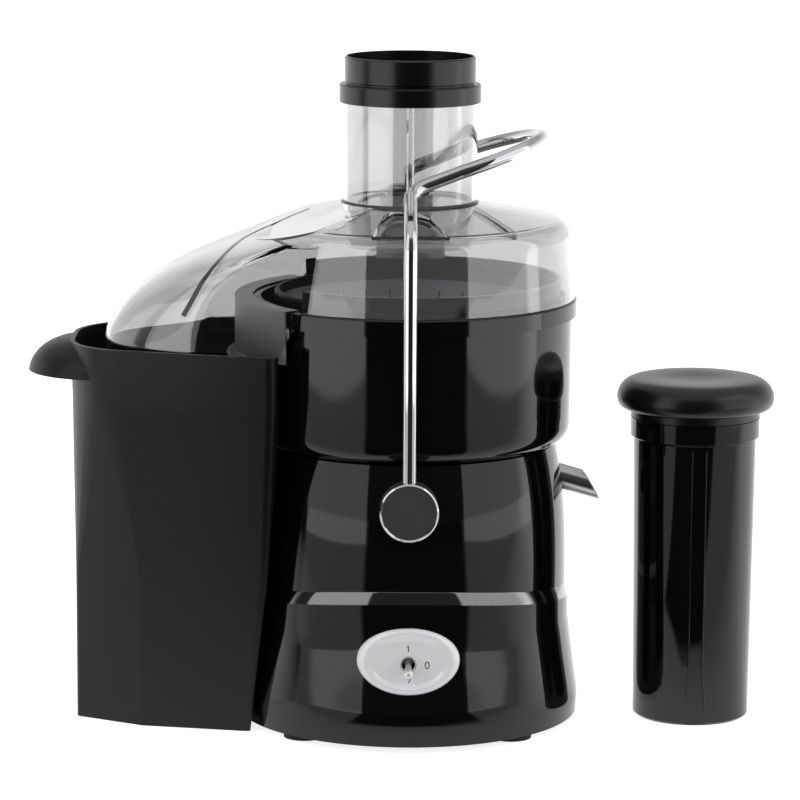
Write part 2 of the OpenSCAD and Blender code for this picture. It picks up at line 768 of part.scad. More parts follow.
module basket_frame() {
    skirt_r = hub_tube_r + 1.5;
    boss_out = hub_tube_r - bowl_wall - 1.5;
    color([0.14, 0.14, 0.15]) on_axis() difference() {
        union() {
            translate([0, 0, plate_z]) cylinder(r = floor_r, h = floor_t);
            translate([0, 0, plate_z - 16]) tube(skirt_r + 2.4, skirt_r, 17);
            translate([0, 0, plate_z - 22]) cylinder(r = boss_out, h = 23);
            ring_of(6) basket_rib();
            rotate_extrude() polygon([
                [cone_top_r, cone_top], [basket_r - 1, cone_top], [basket_r, cone_top + 1.5],
                [basket_r, cone_top + rim_h - 1.5], [basket_r - 1, cone_top + rim_h], [cone_top_r, cone_top + rim_h]
            ]);
            // tapped stub that the grater disc's centre drops over
            translate([0, 0, cone_low - 1]) cylinder(r = 6, h = 5);
        }
        translate([0, 0, plate_z - 40]) cylinder(r = coupling_r + 0.1, h = 40 - (plate_z - coupling_z - coupling_h) + 0.3);
    }
}
// Upright rib of the basket, clear of the mesh cone that it stands behind
rib_t = 3;
module basket_rib() {
    function inner(z) = cone_r(z) + mesh_t + 0.25;
    rib_top = cone_top + 1;
    rib_low = cone_low - seat;
    along_y(rib_t) polygon([
        [floor_r - 1, plate_z], [inner(plate_z) + 1.2, plate_z], [inner(cone_low) + 2.4, cone_low],
        [inner(rib_top) + 1.8, rib_top], [inner(rib_top), rib_top], [inner(rib_low), rib_low], [floor_r - 1, rib_low]
    ]);
}

// Pressed steel cone: short upright slots in rings, and a rolled foot on the basket's floor
module filter_mesh() {
    slot_h = (cone_top - cone_low - 8) / mesh_rings - 3;
    color([0.7, 0.7, 0.72]) on_axis() difference() {
        cone_shell(-0.1, mesh_t, cone_low + eps, cone_top - eps);
        for (k = [0:mesh_rings - 1]) let(z = cone_low + 5 + k * (slot_h + 3))
            ring_of(mesh_slots, k * 180 / mesh_slots + 3)
                translate([cone_r(z) - 6, -0.6, z]) cube([24, 1.2, slot_h]);
    }
}

// Steel disc with raised teeth set along curved sweeps
module grater_disc() {
    sweeps = 9;
    color([0.75, 0.75, 0.77]) on_axis() translate([0, 0, cone_low + seat]) {
        difference() {
            cylinder(r = grater_r, h = 1.2);
            translate([0, 0, -1]) cylinder(r = 6.3, h = 10);
        }
        ring_of(sweeps) for (i = [0:sweep_teeth - 1]) let(r = 12 + i * (grater_r - 16) / (sweep_teeth - 1))
            rotate([0, 0, i * 7]) translate([r, 0, 1.1]) rotate([90, 0, 20]) translate([0, 0, -0.4])
                linear_extrude(height = 0.8) polygon([[-1.3, 0], [1.3, 0], [0.2, 2.1]]);
    }
}

// ---- lid ----------------------------------------------------------------------------------

skirt_z = bin_h - duct_dip;             // lower edge of the duct's skirt
duct_root = 42;                         // where the duct's roof leaves the chute
duct_fall = lid_top - 6 - skirt_z;      // height of the roof there above the skirt's edge

// The roof line from the chute out to the end of the duct: [share of the reach, share of the height]
roof_line = [
    [0, 1], [0.24, 0.9], [0.4, 0.82], [0.553, 0.73], [0.667, 0.65],
    [0.766, 0.555], [0.851, 0.447], [0.922, 0.322], [0.975, 0.175], [1, 0]
];
function roof(g) = lookup(1 - g, [for (p = roof_line) [1 - p[1], p[0]]]);
function roof_x(z, inset) =
    -duct_root - (duct_reach - duct_root) * roof(max(0, min(1, (z - skirt_z) / duct_fall))) + inset;
end_r = 70;                             // depth of the rounded end at the skirt
function side_w(x) = duct_half_w - (-62 - x) * 0.206;

// One level of the duct, clockwise from above: straight sides that close in a rounded end,
// rounder towards the skirt
function duct_level(z, inset) =
    let(g = max(0, min(1, (z + inset - skirt_z) / duct_fall)),
        tip = roof_x(z + inset, inset),
        side = tip + end_r * (1 - pow(g, 1.5)),
        w = side_w(side) - inset)
    concat(
        [[-40 + inset, -side_w(-40) + inset, z]],
        [for (i = [-6:6]) let(a = i * 15) [side - (side - tip) * cos(a), w * sin(a), z]],
        [[-40 + inset, side_w(-40) - inset, z]]
    );
module duct_body(inset, low) {
    steps = [8, 16, 26, 36, 46, 54, 61, 66.5, 71.5];
    loft(concat([duct_level(low, inset)], [for (h = steps) duct_level(skirt_z + h - inset, inset)]));
}
// Everything above the flat roof that falls from the chute towards the duct
roof_fall = 15;
module above_roof(inset) {
    translate([-duct_root, 0, lid_top - 5.6 - inset]) rotate([0, -roof_fall, 0])
        translate([-far, -far / 2, 0]) cube([2 * far, far, far]);
}

module lid_round(inset, low) {
    r = lid_shoulder - inset;
    cx = lid_top_r - lid_shoulder;
    cz = shoulder_z - lid_shoulder;
    rotate_extrude() polygon(concat(
        [[0, low], [lid_r - inset, low]],
        arc(cx, cz, r, 4, 80),
        [[tube_r, lid_top - inset], [0, lid_top - inset]]
    ));
}

hump_w = 22;                            // half width of a lock hump
module lock_hump(inset) {
    base = shoulder_z - 10;
    intersection() {
        along_y(far) polygon([
            [-hump_w + inset, base], [-hump_w + inset, lid_top - 9 - inset], [-17, lid_top - 3 - inset],
            [-11, lid_top + 1 - inset], [-6, lid_top + 1.4 - inset], [6, lid_top - 0.5 - inset],
            [11, lid_top - 1.6 - inset], [hump_w - inset, lid_top - 9 - inset], [hump_w - inset, base]
        ]);
        along_x(far) polygon([
            [-90 + inset, base], [-90 + inset, lid_top - 10.5 - inset], [-68, lid_top + 1.4 - inset],
            [-60, lid_top + 1.4 - inset], [-46 - inset, lid_top - 4], [-46 - inset, base]
        ]);
    }
}

// Fin under the duct's roof that parts the pulp, with a thicker lower edge: [share of the reach, depth]
fin_line = [[0.1, 3.5], [0.25, 6], [0.38, 9], [0.48, 14], [0.57, 23], [0.64, 34], [0.665, 38]];
fin_t = 1.6;
fin_edge = 2.6;
module guide_fin() {
    reach = duct_reach - duct_root;
    function top(g) = skirt_z + duct_fall * lookup(g, roof_line) - 1.2;
    function place(g, drop) = [-duct_root - reach * g, top(g) - drop];
    along_y(fin_t) polygon(concat(
        [for (p = fin_line) place(p[0], 0)],
        [for (i = [len(fin_line) - 1:-1:0]) place(fin_line[i][0], fin_line[i][1])]
    ));
    along_y(fin_edge) polygon(concat(
        [for (p = fin_line) place(p[0], p[1] - 1.6 - p[0])],
        [for (i = [len(fin_line) - 1:-1:0]) place(fin_line[i][0], fin_line[i][1] + 0.1)]
    ));
}

module lid_core(inset, low) {
    difference() {
        lid_round(inset, low);
        above_roof(inset);
    }
}
module lid_cover() {
    difference() {
        union() {
            lid_core(0, lid_z);
            lock_hump(0);
            mirror([0, 1, 0]) lock_hump(0);
        }
        lid_core(lid_wall, lid_z - 1);
        lock_hump(lid_wall);
        mirror([0, 1, 0]) lock_hump(lid_wall);
        duct_body(lid_wall, skirt_z - 1);
        // the hole under the chute
        cylinder(r = chute_r + lid_wall / 2, h = far);
    }
}
module pulp_duct() {
    difference() {
        duct_body(0, skirt_z);
        duct_body(lid_wall, skirt_z - 1);
        lid_core(lid_wall / 4, lid_z - 30);
        // room for the bowl's flange, and the slanted end of the skirt beside it
        translate([0, 0, lid_z - far]) cylinder(r = flange_r + 0.6, h = far);
        along_y(far) polygon([[-62.5, lid_z], [-78, skirt_z], [-78, 0], [0, 0], [0, lid_z]]);
    }
}
module lid() {
    color([0.62, 0.62, 0.62, 0.6]) on_axis() union() {
        lid_cover();
        pulp_duct();
        // chute, and the throat that hangs below the lid's top
        rotate_extrude() polygon([
            [chute_r, tube_top], [tube_r, tube_top], [tube_r, lid_top - lid_wall],
            [chute_r - 0.8, throat_z], [chute_r - 3, throat_z], [chute_r, lid_top]
        ]);
        // key rib down the chute's front
        translate([-1.7, -chute_r - 0.5, throat_z + 26])
            cube([3.4, key_depth + 0.5, tube_top - throat_z - 30]);
        guide_fin();
    }
}

module chute_collar() {
    band_r = tube_r + run + chute_band_t;
    band_low = tube_top - 9.5;
    band_top = tube_top + 1.2;
    lip_r = band_r - 3.2;
    color([0.04, 0.04, 0.045]) on_axis() rotate_extrude() polygon([
        [tube_r + run, band_low], [band_r, band_low], [band_r, band_top - 0.6], [band_r - 0.6, band_top],
        [lip_r - 1, band_top], [lip_r - 1, band_top + 1.2], [lip_r, band_top + 1.8],
        [lip_r, band_low + chute_collar_h - 0.8], [lip_r - 0.8, band_low + chute_collar_h],
        [chute_r - 0.2, band_low + chute_collar_h], [chute_r - 0.2, tube_top + seat], [tube_r + run, tube_top + seat]
    ]);
}

// ---- locking arm --------------------------------------------------------------------------

// One bend of a rod at p, between the directions a and b
module rod_elbow(p, a, b, r, bend) {
    turn = acos(a * b);
    m = unit(b - a * (a * b));
    c = p - a * bend * tan(turn / 2) + m * bend;
    n = cross(-m, a);
    multmatrix([[-m[0], a[0], n[0], c[0]], [-m[1], a[1], n[1], c[1]], [-m[2], a[2], n[2], c[2]], [0, 0, 0, 1]])
        rotate_extrude(angle = turn) translate([bend, 0]) circle(r = r, $fn = 48);
}
// A straight stretch of rod from p to q
module rod_bar(p, q, r) {
    d = unit(q - p);
    tilt = acos(d[2]);
    spin = atan2(d[1], d[0]);
    translate(p) rotate([0, tilt, spin]) cylinder(r = r, h = norm(q - p), $fn = 48);
}

handle_x = 30;                                    // centre of the handle's round end
shoulder_rod_z = lid_top - 6;                     // where the legs turn in over the lid
shelf_z = shoulder_rod_z + 18.5;
handle_z = shelf_z + 11;
leg_foot = pivot_z + 6;
lap = 0.5;                                        // straight bars run this far into the bends

module arm_half() {
    a = [0, -leg_y, leg_foot];
    b = [0, -leg_y, shoulder_rod_z];
    c = [0, -handle_r - 5, shelf_z];
    d = [handle_x, -handle_r, handle_z];
    r = rod_d / 2;
    up = unit(b - a);
    in = unit(c - b);
    out = unit(d - c);
    b_trim = rod_bend * tan(acos(up * in) / 2);
    c_trim = rod_bend * tan(acos(in * out) / 2);
    rod_bar(a, b - up * (b_trim - lap), r);
    rod_elbow(b, up, in, r + 0.02, rod_bend);
    rod_bar(b + in * (b_trim - lap), c - in * (c_trim - lap), r);
    rod_elbow(c, in, out, r + 0.02, rod_bend);
    rod_bar(c + out * (c_trim - lap), d, r);
    translate(d) sphere(r = r + 0.02);
}
module locking_arm() {
    color([0.85, 0.85, 0.87]) on_axis() {
        arm_half();
        mirror([0, 1, 0]) arm_half();
        translate([handle_x, 0, handle_z]) rotate([0, -handle_rise, 0]) rotate([0, 0, -90])
            rotate_extrude(angle = 180) translate([handle_r, 0]) circle(r = rod_d / 2 + 0.01, $fn = 48);
    }
}

// Turns its children to face the side that the pivot is on: +Z out of the machine, +Y up
module pivot_frame(side) {
    translate([0, side * cap_back, pivot_z]) rotate([-side * 90, 0, 0]) children();
}
inlay_r = cap_d / 2 - 1.6;
module pivot_cap(side) {
    pivot_frame(side) difference() {
        rotate_extrude() polygon([
            [0, 0], [cap_d / 2 - 1, 0], [cap_d / 2, 1], [cap_d / 2, cap_t - 2], [inlay_r + 0.2, cap_t - 2],
            [inlay_r + 0.2, cap_t - 0.8], [0, cap_t - 0.8]
        ]);
        translate([0, 0, -1]) cylinder(r = pin_r + run, h = 9);
    }
}
module rod_socket() {
    for (side = [-1, 1]) translate([0, side * leg_y, leg_foot - 0.1]) cylinder(r = rod_d / 2 + run, h = 60);
}
module front_pivot_cap() {
    color([0.2, 0.2, 0.2]) on_axis() difference() { pivot_cap(-1); rod_socket(); }
}
module rear_pivot_cap() {
    color([0.2, 0.2, 0.2]) on_axis() difference() { pivot_cap(1); rod_socket(); }
}
module cap_ring(side) {
    pivot_frame(side) translate([0, 0, cap_t - 2 + 0.05]) rotate_extrude() polygon([
        [inlay_r + 0.3, 0], [cap_d / 2, 0], [cap_d / 2, 1.2], [cap_d / 2 - 0.8, 1.95], [inlay_r + 0.3, 1.4]
    ]);
}
module front_cap_ring() { color([0.85, 0.85, 0.87]) on_axis() cap_ring(-1); }
module rear_cap_ring() { color([0.85, 0.85, 0.87]) on_axis() cap_ring(1); }

module pivot_pin(side) {
    length = cap_back - boss_face + boss_depth + 5;
    pivot_frame(side) {
        translate([0, 0, -length]) cylinder(r = pin_r, h = length + 7.5);
        translate([0, 0, -length + 0.6]) cylinder(r = pin_r + 2.4, h = 1.6);
    }
}
module front_pivot_pin() { color([0.7, 0.7, 0.72]) on_axis() pivot_pin(-1); }
module rear_pivot_pin() { color([0.7, 0.7, 0.72]) on_axis() pivot_pin(1); }

module pivot_bush(side) {
    pivot_frame(side) translate([0, 0, -seat - bush_flange_t]) difference() {
        union() {
            translate([0, 0, eps]) cylinder(r = bush_flange_r, h = bush_flange_t - eps);
            translate([0, 0, -boss_depth]) cylinder(r = bush_r, h = boss_depth + 1);
        }
        translate([0, 0, -30]) cylinder(r = pin_r + run, h = 60);
    }
}
module front_pivot_bush() { color([0.9, 0.9, 0.88]) on_axis() pivot_bush(-1); }
module rear_pivot_bush() { color([0.9, 0.9, 0.88]) on_axis() pivot_bush(1); }

// ---- pulp bin -----------------------------------------------------------------------------

facet_z = 92;                            // top of the corner facets
band_z = bin_h - 34;                     // where the upper body steps in to the lower one
facet_turn = 44;                         // from the bin's end to the corner of its facets
bin_end_r = 45;                          // plan radius of its outer end
machine_gap_r = base_r + bin_gap;

// Plan of the bin at a level: round outer end above, faceted below
bin_flat = 15;                          // half width of the straight part of the round end
bin_nose = 14;                          // the same of the faceted end
module bin_top_plan(inset, shrink) {
    hull() for (side = [-1, 1]) {
        translate([-82, side * (bin_half_d - 6 - shrink)]) circle(r = 6 - inset, $fn = 24);
        translate([bin_end_r - bin_reach + shrink, side * bin_flat]) circle(r = bin_end_r - inset, $fn = 56);
    }
}
module bin_facet_plan(inset, near_x, near_y, far_y) {
    hull() for (side = [-1, 1]) {
        translate([near_x + 5, side * (near_y - 5)]) circle(r = 5 - inset, $fn = 24);
        translate([facet_turn - bin_reach, side * (far_y - 4)]) circle(r = 4 - inset, $fn = 24);
        translate([-bin_reach + 6, side * bin_nose]) circle(r = 4 - inset, $fn = 24);
    }
}
module slab(z) { translate([0, 0, z]) linear_extrude(height = eps) children(); }

module bin_body(inset, low, high) {
    hull() {
        slab(high) bin_top_plan(inset, 0);
        slab(band_z + 4) bin_top_plan(inset, 1);
    }
    hull() {
        slab(band_z + 4) bin_top_plan(inset, 1);
        slab(band_z - 4) bin_top_plan(inset, 3);
        slab(facet_z) bin_facet_plan(inset, -91, 67, 47);
    }
    hull() {
        slab(facet_z) bin_facet_plan(inset, -91, 67, 47);
        slab(low) bin_facet_plan(inset, -101, 51, 39);
    }
}

lip_r = 51;                               // plan radius of the finger lip
lip_t = 2.6;
lip_fall = 22;
lip_ring_r = lip_r - 4;                   // radius of the curl, set a little inside the lip's outline
lip_sides = 30;                           // how far the curl runs back along the bin's sides
module finger_lip() {
    centre = lip_reach - lip_ring_r;
    root = bin_reach - centre - bin_wall / 2;
    grow = lip_ring_r - root;
    function curl(a, t) = [root + (grow - t) * cos(a), bin_h - lip_fall + (lip_fall - t) * sin(a)];
    intersection() {
        translate([-centre, 0, 0]) rotate_extrude() polygon(concat(
            [for (i = [0:8]) curl(90 - i * 10.5, 0)],
            [for (i = [0:8]) curl(6 + i * 10.5, lip_t)]
        ));
        translate([lip_r - lip_reach, 0, 0]) cylinder(r = lip_r, h = far);
        translate([-far, -far / 2, 0]) cube([far - bin_reach + lip_sides, far, far]);
    }
}

module pulp_bin() {
    color([0.05, 0.05, 0.055]) on_axis() difference() {
        union() {
            bin_body(0, 0, bin_h);
            finger_lip();
        }
        difference() {
            bin_body(bin_wall, bin_wall, bin_h + 1);
            cylinder(r = machine_gap_r + bin_wall, h = far);
        }
        translate([0, 0, -1]) cylinder(r = machine_gap_r, h = far);
        // the inner wall stops below the duct's skirt, so that the bin can slide away
        intersection() {
            translate([-far, -duct_half_w + 1, skirt_z - 2]) cube([far, 2 * duct_half_w - 2, far]);
            cylinder(r = machine_gap_r + bin_wall + 1, h = far);
        }
    }
}

// ---- pusher -------------------------------------------------------------------------------

pusher_collar_z = pusher_h - cap_head_h - 13;
pusher_wall = 2.4;
module at_pusher() { on_axis() translate([pusher_x, 0, 0]) children(); }

module pusher_body() {
    top_r = pusher_d / 2;
    foot_r = pusher_foot_d / 2;
    collar = top_r + 2;
    collar_z = pusher_collar_z;
    top_z = pusher_h - cap_head_h + 6;
    keyway_floor = chute_r - key_depth - 0.6;
    color([0.03, 0.03, 0.035]) at_pusher() difference() {
        rotate_extrude() polygon([
            [0, 0], [foot_r - 1.5, 0], [foot_r, 1.5], [top_r, collar_z], [collar, collar_z + 1.5],
            [collar, top_z - 6 - seat], [collar - 6, top_z - 6 - seat], [collar - 6, top_z], [0, top_z]
        ]);
        // hollow, but for the strip behind the keyway
        difference() {
            rotate_extrude() polygon([
                [0, pusher_wall], [foot_r - pusher_wall, pusher_wall], [top_r - pusher_wall, collar_z - 4],
                [collar - 6 - pusher_wall, top_z], [collar - 6 - pusher_wall, top_z + 1], [0, top_z + 1]
            ]);
            translate([-keyway_w / 2 - 5, -far, 0]) cube([keyway_w + 10, far - keyway_floor + pusher_wall, collar_z - 1]);
        }
        // keyway down the front, wider at the foot
        translate([-keyway_w / 2, -far, -1]) cube([keyway_w, far - keyway_floor, collar_z]);
        translate([0, -keyway_floor, -1]) rotate([90, 0, 0]) linear_extrude(height = 10)
            polygon([[-keyway_w / 2 - 2.6, 0], [keyway_w / 2 + 2.6, 0], [keyway_w / 2, 34], [-keyway_w / 2, 34]]);
    }
}

module pusher_cap() {
    r = cap_head_d / 2;
    low = pusher_h - cap_head_h;
    rim = 8;
    color([0.03, 0.03, 0.035]) at_pusher() rotate_extrude() polygon(concat(
        [[r - 9, low], [r - 3, low + 2], [r - 0.6, low + 6]],
        arc(r - rim, low + rim + 3, rim, -20, 68, 6),
        [[r - 20, pusher_h - 2.6], [r - 32, pusher_h - 0.5], [0, pusher_h],
         [0, pusher_h - 3], [r - 20, pusher_h - 5.5], [r - 9, low + 14]]
    ));
}

motor_housing();
base_plate();
foot_pads();
base_screws();
cord_gland();
switch_bezel();
switch_body();
switch_collar();
toggle_lever();
motor_stator();
field_windings();
upper_bracket();
lower_bracket();
brush_holders();
motor_mounts();
upper_bearing();
lower_bearing();
shaft_seal();
motor_shaft();
armature();
commutator();
cooling_fan();
drive_coupling();
juice_bowl();
drain_well();
juice_spout();
lid_gasket();
basket_frame();
filter_mesh();
grater_disc();
lid();
chute_collar();
locking_arm();
front_pivot_cap();
rear_pivot_cap();
front_cap_ring();
rear_cap_ring();
front_pivot_pin();
rear_pivot_pin();
front_pivot_bush();
rear_pivot_bush();
pulp_bin();
pusher_body();
pusher_cap();
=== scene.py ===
import math

import bmesh
import bpy
from bpy.props import FloatProperty, PointerProperty, StringProperty
from mathutils import Euler, Matrix, Vector


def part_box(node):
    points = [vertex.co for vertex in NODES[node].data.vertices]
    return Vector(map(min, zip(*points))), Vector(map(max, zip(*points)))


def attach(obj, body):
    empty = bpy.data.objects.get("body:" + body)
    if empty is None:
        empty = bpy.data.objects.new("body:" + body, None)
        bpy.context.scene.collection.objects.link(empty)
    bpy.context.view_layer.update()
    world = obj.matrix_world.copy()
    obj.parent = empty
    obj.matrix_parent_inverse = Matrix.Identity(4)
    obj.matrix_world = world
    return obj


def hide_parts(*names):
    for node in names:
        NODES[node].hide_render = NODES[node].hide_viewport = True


bl_info = {
    "name": "Centrifugal juicer",
    "version": (1, 0, 0),
    "blender": (4, 5, 0),
    "location": "3D view > Sidebar > Juicer",
    "description": "Finishes, clear lid, switch marks and studio for a centrifugal juicer",
    "category": "Object",
}

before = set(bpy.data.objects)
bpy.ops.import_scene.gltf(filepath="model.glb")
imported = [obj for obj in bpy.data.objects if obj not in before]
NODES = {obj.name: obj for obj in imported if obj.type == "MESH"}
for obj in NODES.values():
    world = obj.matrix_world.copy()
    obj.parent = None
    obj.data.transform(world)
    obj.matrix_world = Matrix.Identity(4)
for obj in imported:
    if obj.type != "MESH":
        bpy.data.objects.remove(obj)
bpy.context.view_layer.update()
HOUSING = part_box("motor_housing")
# The motor's axis stands upright here
AXIS_X = (HOUSING[0].x + HOUSING[1].x) / 2
MM = 0.001


# ---- helpers -------------------------------------------------------------------------------


def linear(hex_colour):
    """An sRGB hex value as linear RGBA."""
    channels = [int(hex_colour[i:i + 2], 16) / 255 for i in (0, 2, 4)]
    return tuple(c / 12.92 if c <= 0.04045 else ((c + 0.055) / 1.055) ** 2.4 for c in channels) + (1.0,)


def add(tree, kind, sockets=None, links=None, **settings):
    """Adds a node, sets its attributes and sockets, and links other nodes' outputs to its inputs."""
    made = tree.nodes.new(kind)
    for name, value in settings.items():
        setattr(made, name, value)
    for name, value in (sockets or {}).items():
        made.inputs[name].default_value = value
    for name, source in (links or {}).items():
        tree.links.new(source, made.inputs[name])
    return made


def new_material(name):
    """An empty node material with its output node."""
    material = bpy.data.materials.new(name)
    material.use_nodes = True
    material.node_tree.nodes.clear()
    out = add(material.node_tree, "ShaderNodeOutputMaterial")
    return material, material.node_tree, out


def dress(node_names, material):
    """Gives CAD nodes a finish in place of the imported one."""
    for name in node_names:
        obj = NODES[name]
        for index in range(len(obj.material_slots)):
            obj.material_slots[index].material = material


def smooth_moulding(angle):
    """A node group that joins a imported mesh's loose triangles and shades it smooth between its real edges."""
    tree = bpy.data.node_groups.new("smooth moulding", "GeometryNodeTree")
    tree.interface.new_socket("Geometry", in_out="INPUT", socket_type="NodeSocketGeometry")
    tree.interface.new_socket("Geometry", in_out="OUTPUT", socket_type="NodeSocketGeometry")
    start = add(tree, "NodeGroupInput")
    bare = add(tree, "GeometryNodeRemoveAttribute", {"Name": "custom_normal"}, {"Geometry": start.outputs[0]})
    joined = add(tree, "GeometryNodeMergeByDistance", {"Distance": 2e-6}, {"Geometry": bare.outputs[0]})
    soft = add(tree, "GeometryNodeSetShadeSmooth", {"Shade Smooth": True}, {"Geometry": joined.outputs[0]},
               domain="FACE")
    bend = add(tree, "GeometryNodeInputMeshEdgeAngle")
    crisp = add(tree, "FunctionNodeCompare", {"B": math.radians(angle)}, {"A": bend.outputs["Unsigned Angle"]},
                data_type="FLOAT", operation="GREATER_THAN")
    edged = add(tree, "GeometryNodeSetShadeSmooth", {"Shade Smooth": False},
                {"Geometry": soft.outputs[0], "Selection": crisp.outputs[0]}, domain="EDGE")
    add(tree, "NodeGroupOutput", links={0: edged.outputs[0]})
    return tree


def finished(name, bm, material, body, sharp=30.0):
    """Turns a bmesh built in the row frame into a piece that rides on a body."""
    mesh = bpy.data.meshes.new(name)
    bm.to_mesh(mesh)
    bm.free()
    obj = bpy.data.objects.new(name, mesh)
    bpy.context.scene.collection.objects.link(obj)
    mesh.materials.append(material)
    mesh.shade_smooth()
    mesh.set_sharp_from_angle(angle=math.radians(sharp))
    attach(obj, body)
    return obj


def spun(profile, centre, steps=128):
    """A bmesh of an (r, z) outline spun round an upright axis; closed outlines make rings."""
    bm = bmesh.new()
    verts = [bm.verts.new((centre[0] + r, centre[1], centre[2] + z)) for r, z in profile]
    edges = [bm.edges.new(pair) for pair in zip(verts, verts[1:])]
    if profile[0][0] > 1e-9 and profile[-1][0] > 1e-9:
        edges.append(bm.edges.new((verts[-1], verts[0])))
    bmesh.ops.spin(bm, geom=verts + edges, cent=centre, axis=(0, 0, 1), angle=2 * math.pi, steps=steps,
                   use_merge=True)
    bmesh.ops.remove_doubles(bm, verts=bm.verts, dist=1e-6)
    bmesh.ops.recalc_face_normals(bm, faces=bm.faces)
    return bm


def lofted(rings, around=False):
    """A closed bmesh through rings of equal count. It ends in two caps, or joins up again for a part with a hole."""
    bm = bmesh.new()
    loops = []
    for ring in rings:
        verts = bmesh.ops.create_circle(bm, segments=len(ring), radius=1.0)["verts"]
        for vert, place in zip(verts, ring):
            vert.co = place
        loops.append(list({e for v in verts for e in v.link_edges}))
    for low, high in zip(loops, loops[1:]):
        bmesh.ops.bridge_loops(bm, edges=low + high)
    if around:
        bmesh.ops.bridge_loops(bm, edges=loops[-1] + loops[0])
    else:
        bmesh.ops.holes_fill(bm, edges=loops[0], sides=0)
        bmesh.ops.holes_fill(bm, edges=loops[-1], sides=0)
    bmesh.ops.recalc_face_normals(bm, faces=bm.faces)
    return bm


def solid_object(name, bm):
    """A bmesh as a loose object, for boolean work."""
    mesh = bpy.data.meshes.new(name)
    bm.to_mesh(mesh)
    bm.free()
    obj = bpy.data.objects.new(name, mesh)
    bpy.context.scene.collection.objects.link(obj)
    return obj


def combined(base, steps):
    """Applies a list of (operation, object) to a solid, and removes the tools."""
    for operation, tool in steps:
        modifier = base.modifiers.new("cut", "BOOLEAN")
        modifier.operation = operation
        modifier.solver = "EXACT"
        modifier.object = tool
        bpy.context.view_layer.update()
        evaluated = base.evaluated_get(bpy.context.evaluated_depsgraph_get())
        mesh = bpy.data.meshes.new_from_object(evaluated)
        base.modifiers.clear()
        base.data = mesh
        bpy.data.objects.remove(tool)
    bm = bmesh.new()
    bm.from_mesh(base.data)
    bmesh.ops.remove_doubles(bm, verts=bm.verts, dist=2e-6)
    bpy.data.objects.remove(base)
    return bm


def at(x, y, z):
    """A place in millimetres from the motor's axis at table height, in the row frame."""
    return Vector((AXIS_X + x * MM, y * MM, z * MM))


def prism(outline, across, low, high):
    """A closed bmesh of an outline pushed along X or Y. The outline is in (y, z) or (x, z), in millimetres."""
    bm = bmesh.new()
    if across == "X":
        verts = [bm.verts.new(at(low, a, b)) for a, b in outline]
        push = Vector((high - low, 0, 0)) * MM
    else:
        verts = [bm.verts.new(at(a, low, b)) for a, b in outline]
        push = Vector((0, high - low, 0)) * MM
    face = bm.faces.new(verts)
    grown = bmesh.ops.extrude_face_region(bm, geom=[face])["geom"]
    bmesh.ops.translate(bm, verts=[g for g in grown if isinstance(g, bmesh.types.BMVert)], vec=push)
    bmesh.ops.recalc_face_normals(bm, faces=bm.faces)
    return bm


def smooth_lookup(points, t):
    """A smooth curve through (position, value) points in rising order."""
    slopes = []
    for i in range(len(points)):
        before, after = points[max(i - 1, 0)], points[min(i + 1, len(points) - 1)]
        slopes.append((after[1] - before[1]) / (after[0] - before[0]))
    t = min(max(t, points[0][0]), points[-1][0])
    i = max(k for k in range(len(points) - 1) if points[k][0] <= t + 1e-12)
    (x0, y0), (x1, y1) = points[i], points[i + 1]
    h = x1 - x0
    u = (t - x0) / h
    return ((2 * u ** 3 - 3 * u ** 2 + 1) * y0 + (u ** 3 - 2 * u ** 2 + u) * h * slopes[i]
            + (3 * u ** 2 - 2 * u ** 3) * y1 + (u ** 3 - u ** 2) * h * slopes[i + 1])


# ---- finishes ------------------------------------------------------------------------------


def gloss_abs(name, roughness):
    # Injection-moulded ABS from a polished mould: near black, mirror-like, with the faint
    # waviness that moulded walls show in long reflections
    material, tree, out = new_material(name)
    place = add(tree, "ShaderNodeTexCoord")
    wave = add(tree, "ShaderNodeTexNoise", {"Scale": 28.0, "Detail": 1.0}, {"Vector": place.outputs["Object"]})
    bump = add(tree, "ShaderNodeBump", {"Strength": 0.04, "Distance": 0.002}, {"Height": wave.outputs["Fac"]})
    shader = add(tree, "ShaderNodeBsdfPrincipled", {
        "Base Color": linear("060607"), "Roughness": roughness, "IOR": 1.53,
    }, {"Normal": bump.outputs["Normal"]})
    tree.links.new(shader.outputs[0], out.inputs["Surface"])
    return material


def edge_lacquer():
    # The step's slope carries a hard lacquer, which mirrors more than the plastic round it
    material, tree, out = new_material("lacquered ABS")
    shader = add(tree, "ShaderNodeBsdfPrincipled", {
        "Base Color": linear("060607"), "Roughness": 0.1, "Coat Weight": 1.0, "Coat IOR": 2.6, "Coat Roughness": 0.06,
    })
    tree.links.new(shader.outputs[0], out.inputs["Surface"])
    return material


def satin_plastic(look):
    # Polypropylene from a spark-eroded mould: a fine grain that spreads every reflection
    material, tree, out = new_material("grained polypropylene")
    place = add(tree, "ShaderNodeTexCoord")
    # the real grain is about 0.15 mm; it is drawn at 0.5 mm so that it shows
    grain = add(tree, "ShaderNodeTexNoise", {"Scale": 2000.0, "Detail": 2.0}, {"Vector": place.outputs["Object"]})
    bump = add(tree, "ShaderNodeBump", {"Strength": 0.12, "Distance": 0.0002}, {"Height": grain.outputs["Fac"]})
    cloud = add(tree, "ShaderNodeTexNoise", {"Scale": 18.0, "Detail": 3.0}, {"Vector": place.outputs["Object"]})
    rough = add(tree, "ShaderNodeMapRange", {
        "To Min": look.satin_roughness - 0.03, "To Max": look.satin_roughness + 0.04,
    }, {"Value": cloud.outputs["Fac"]})
    shader = add(tree, "ShaderNodeBsdfPrincipled", {
        "Base Color": linear("0b0b0c"), "IOR": 1.49, "Specular IOR Level": 0.36,
    }, {"Normal": bump.outputs["Normal"], "Roughness": rough.outputs["Result"]})
    tree.links.new(shader.outputs[0], out.inputs["Surface"])
    return material


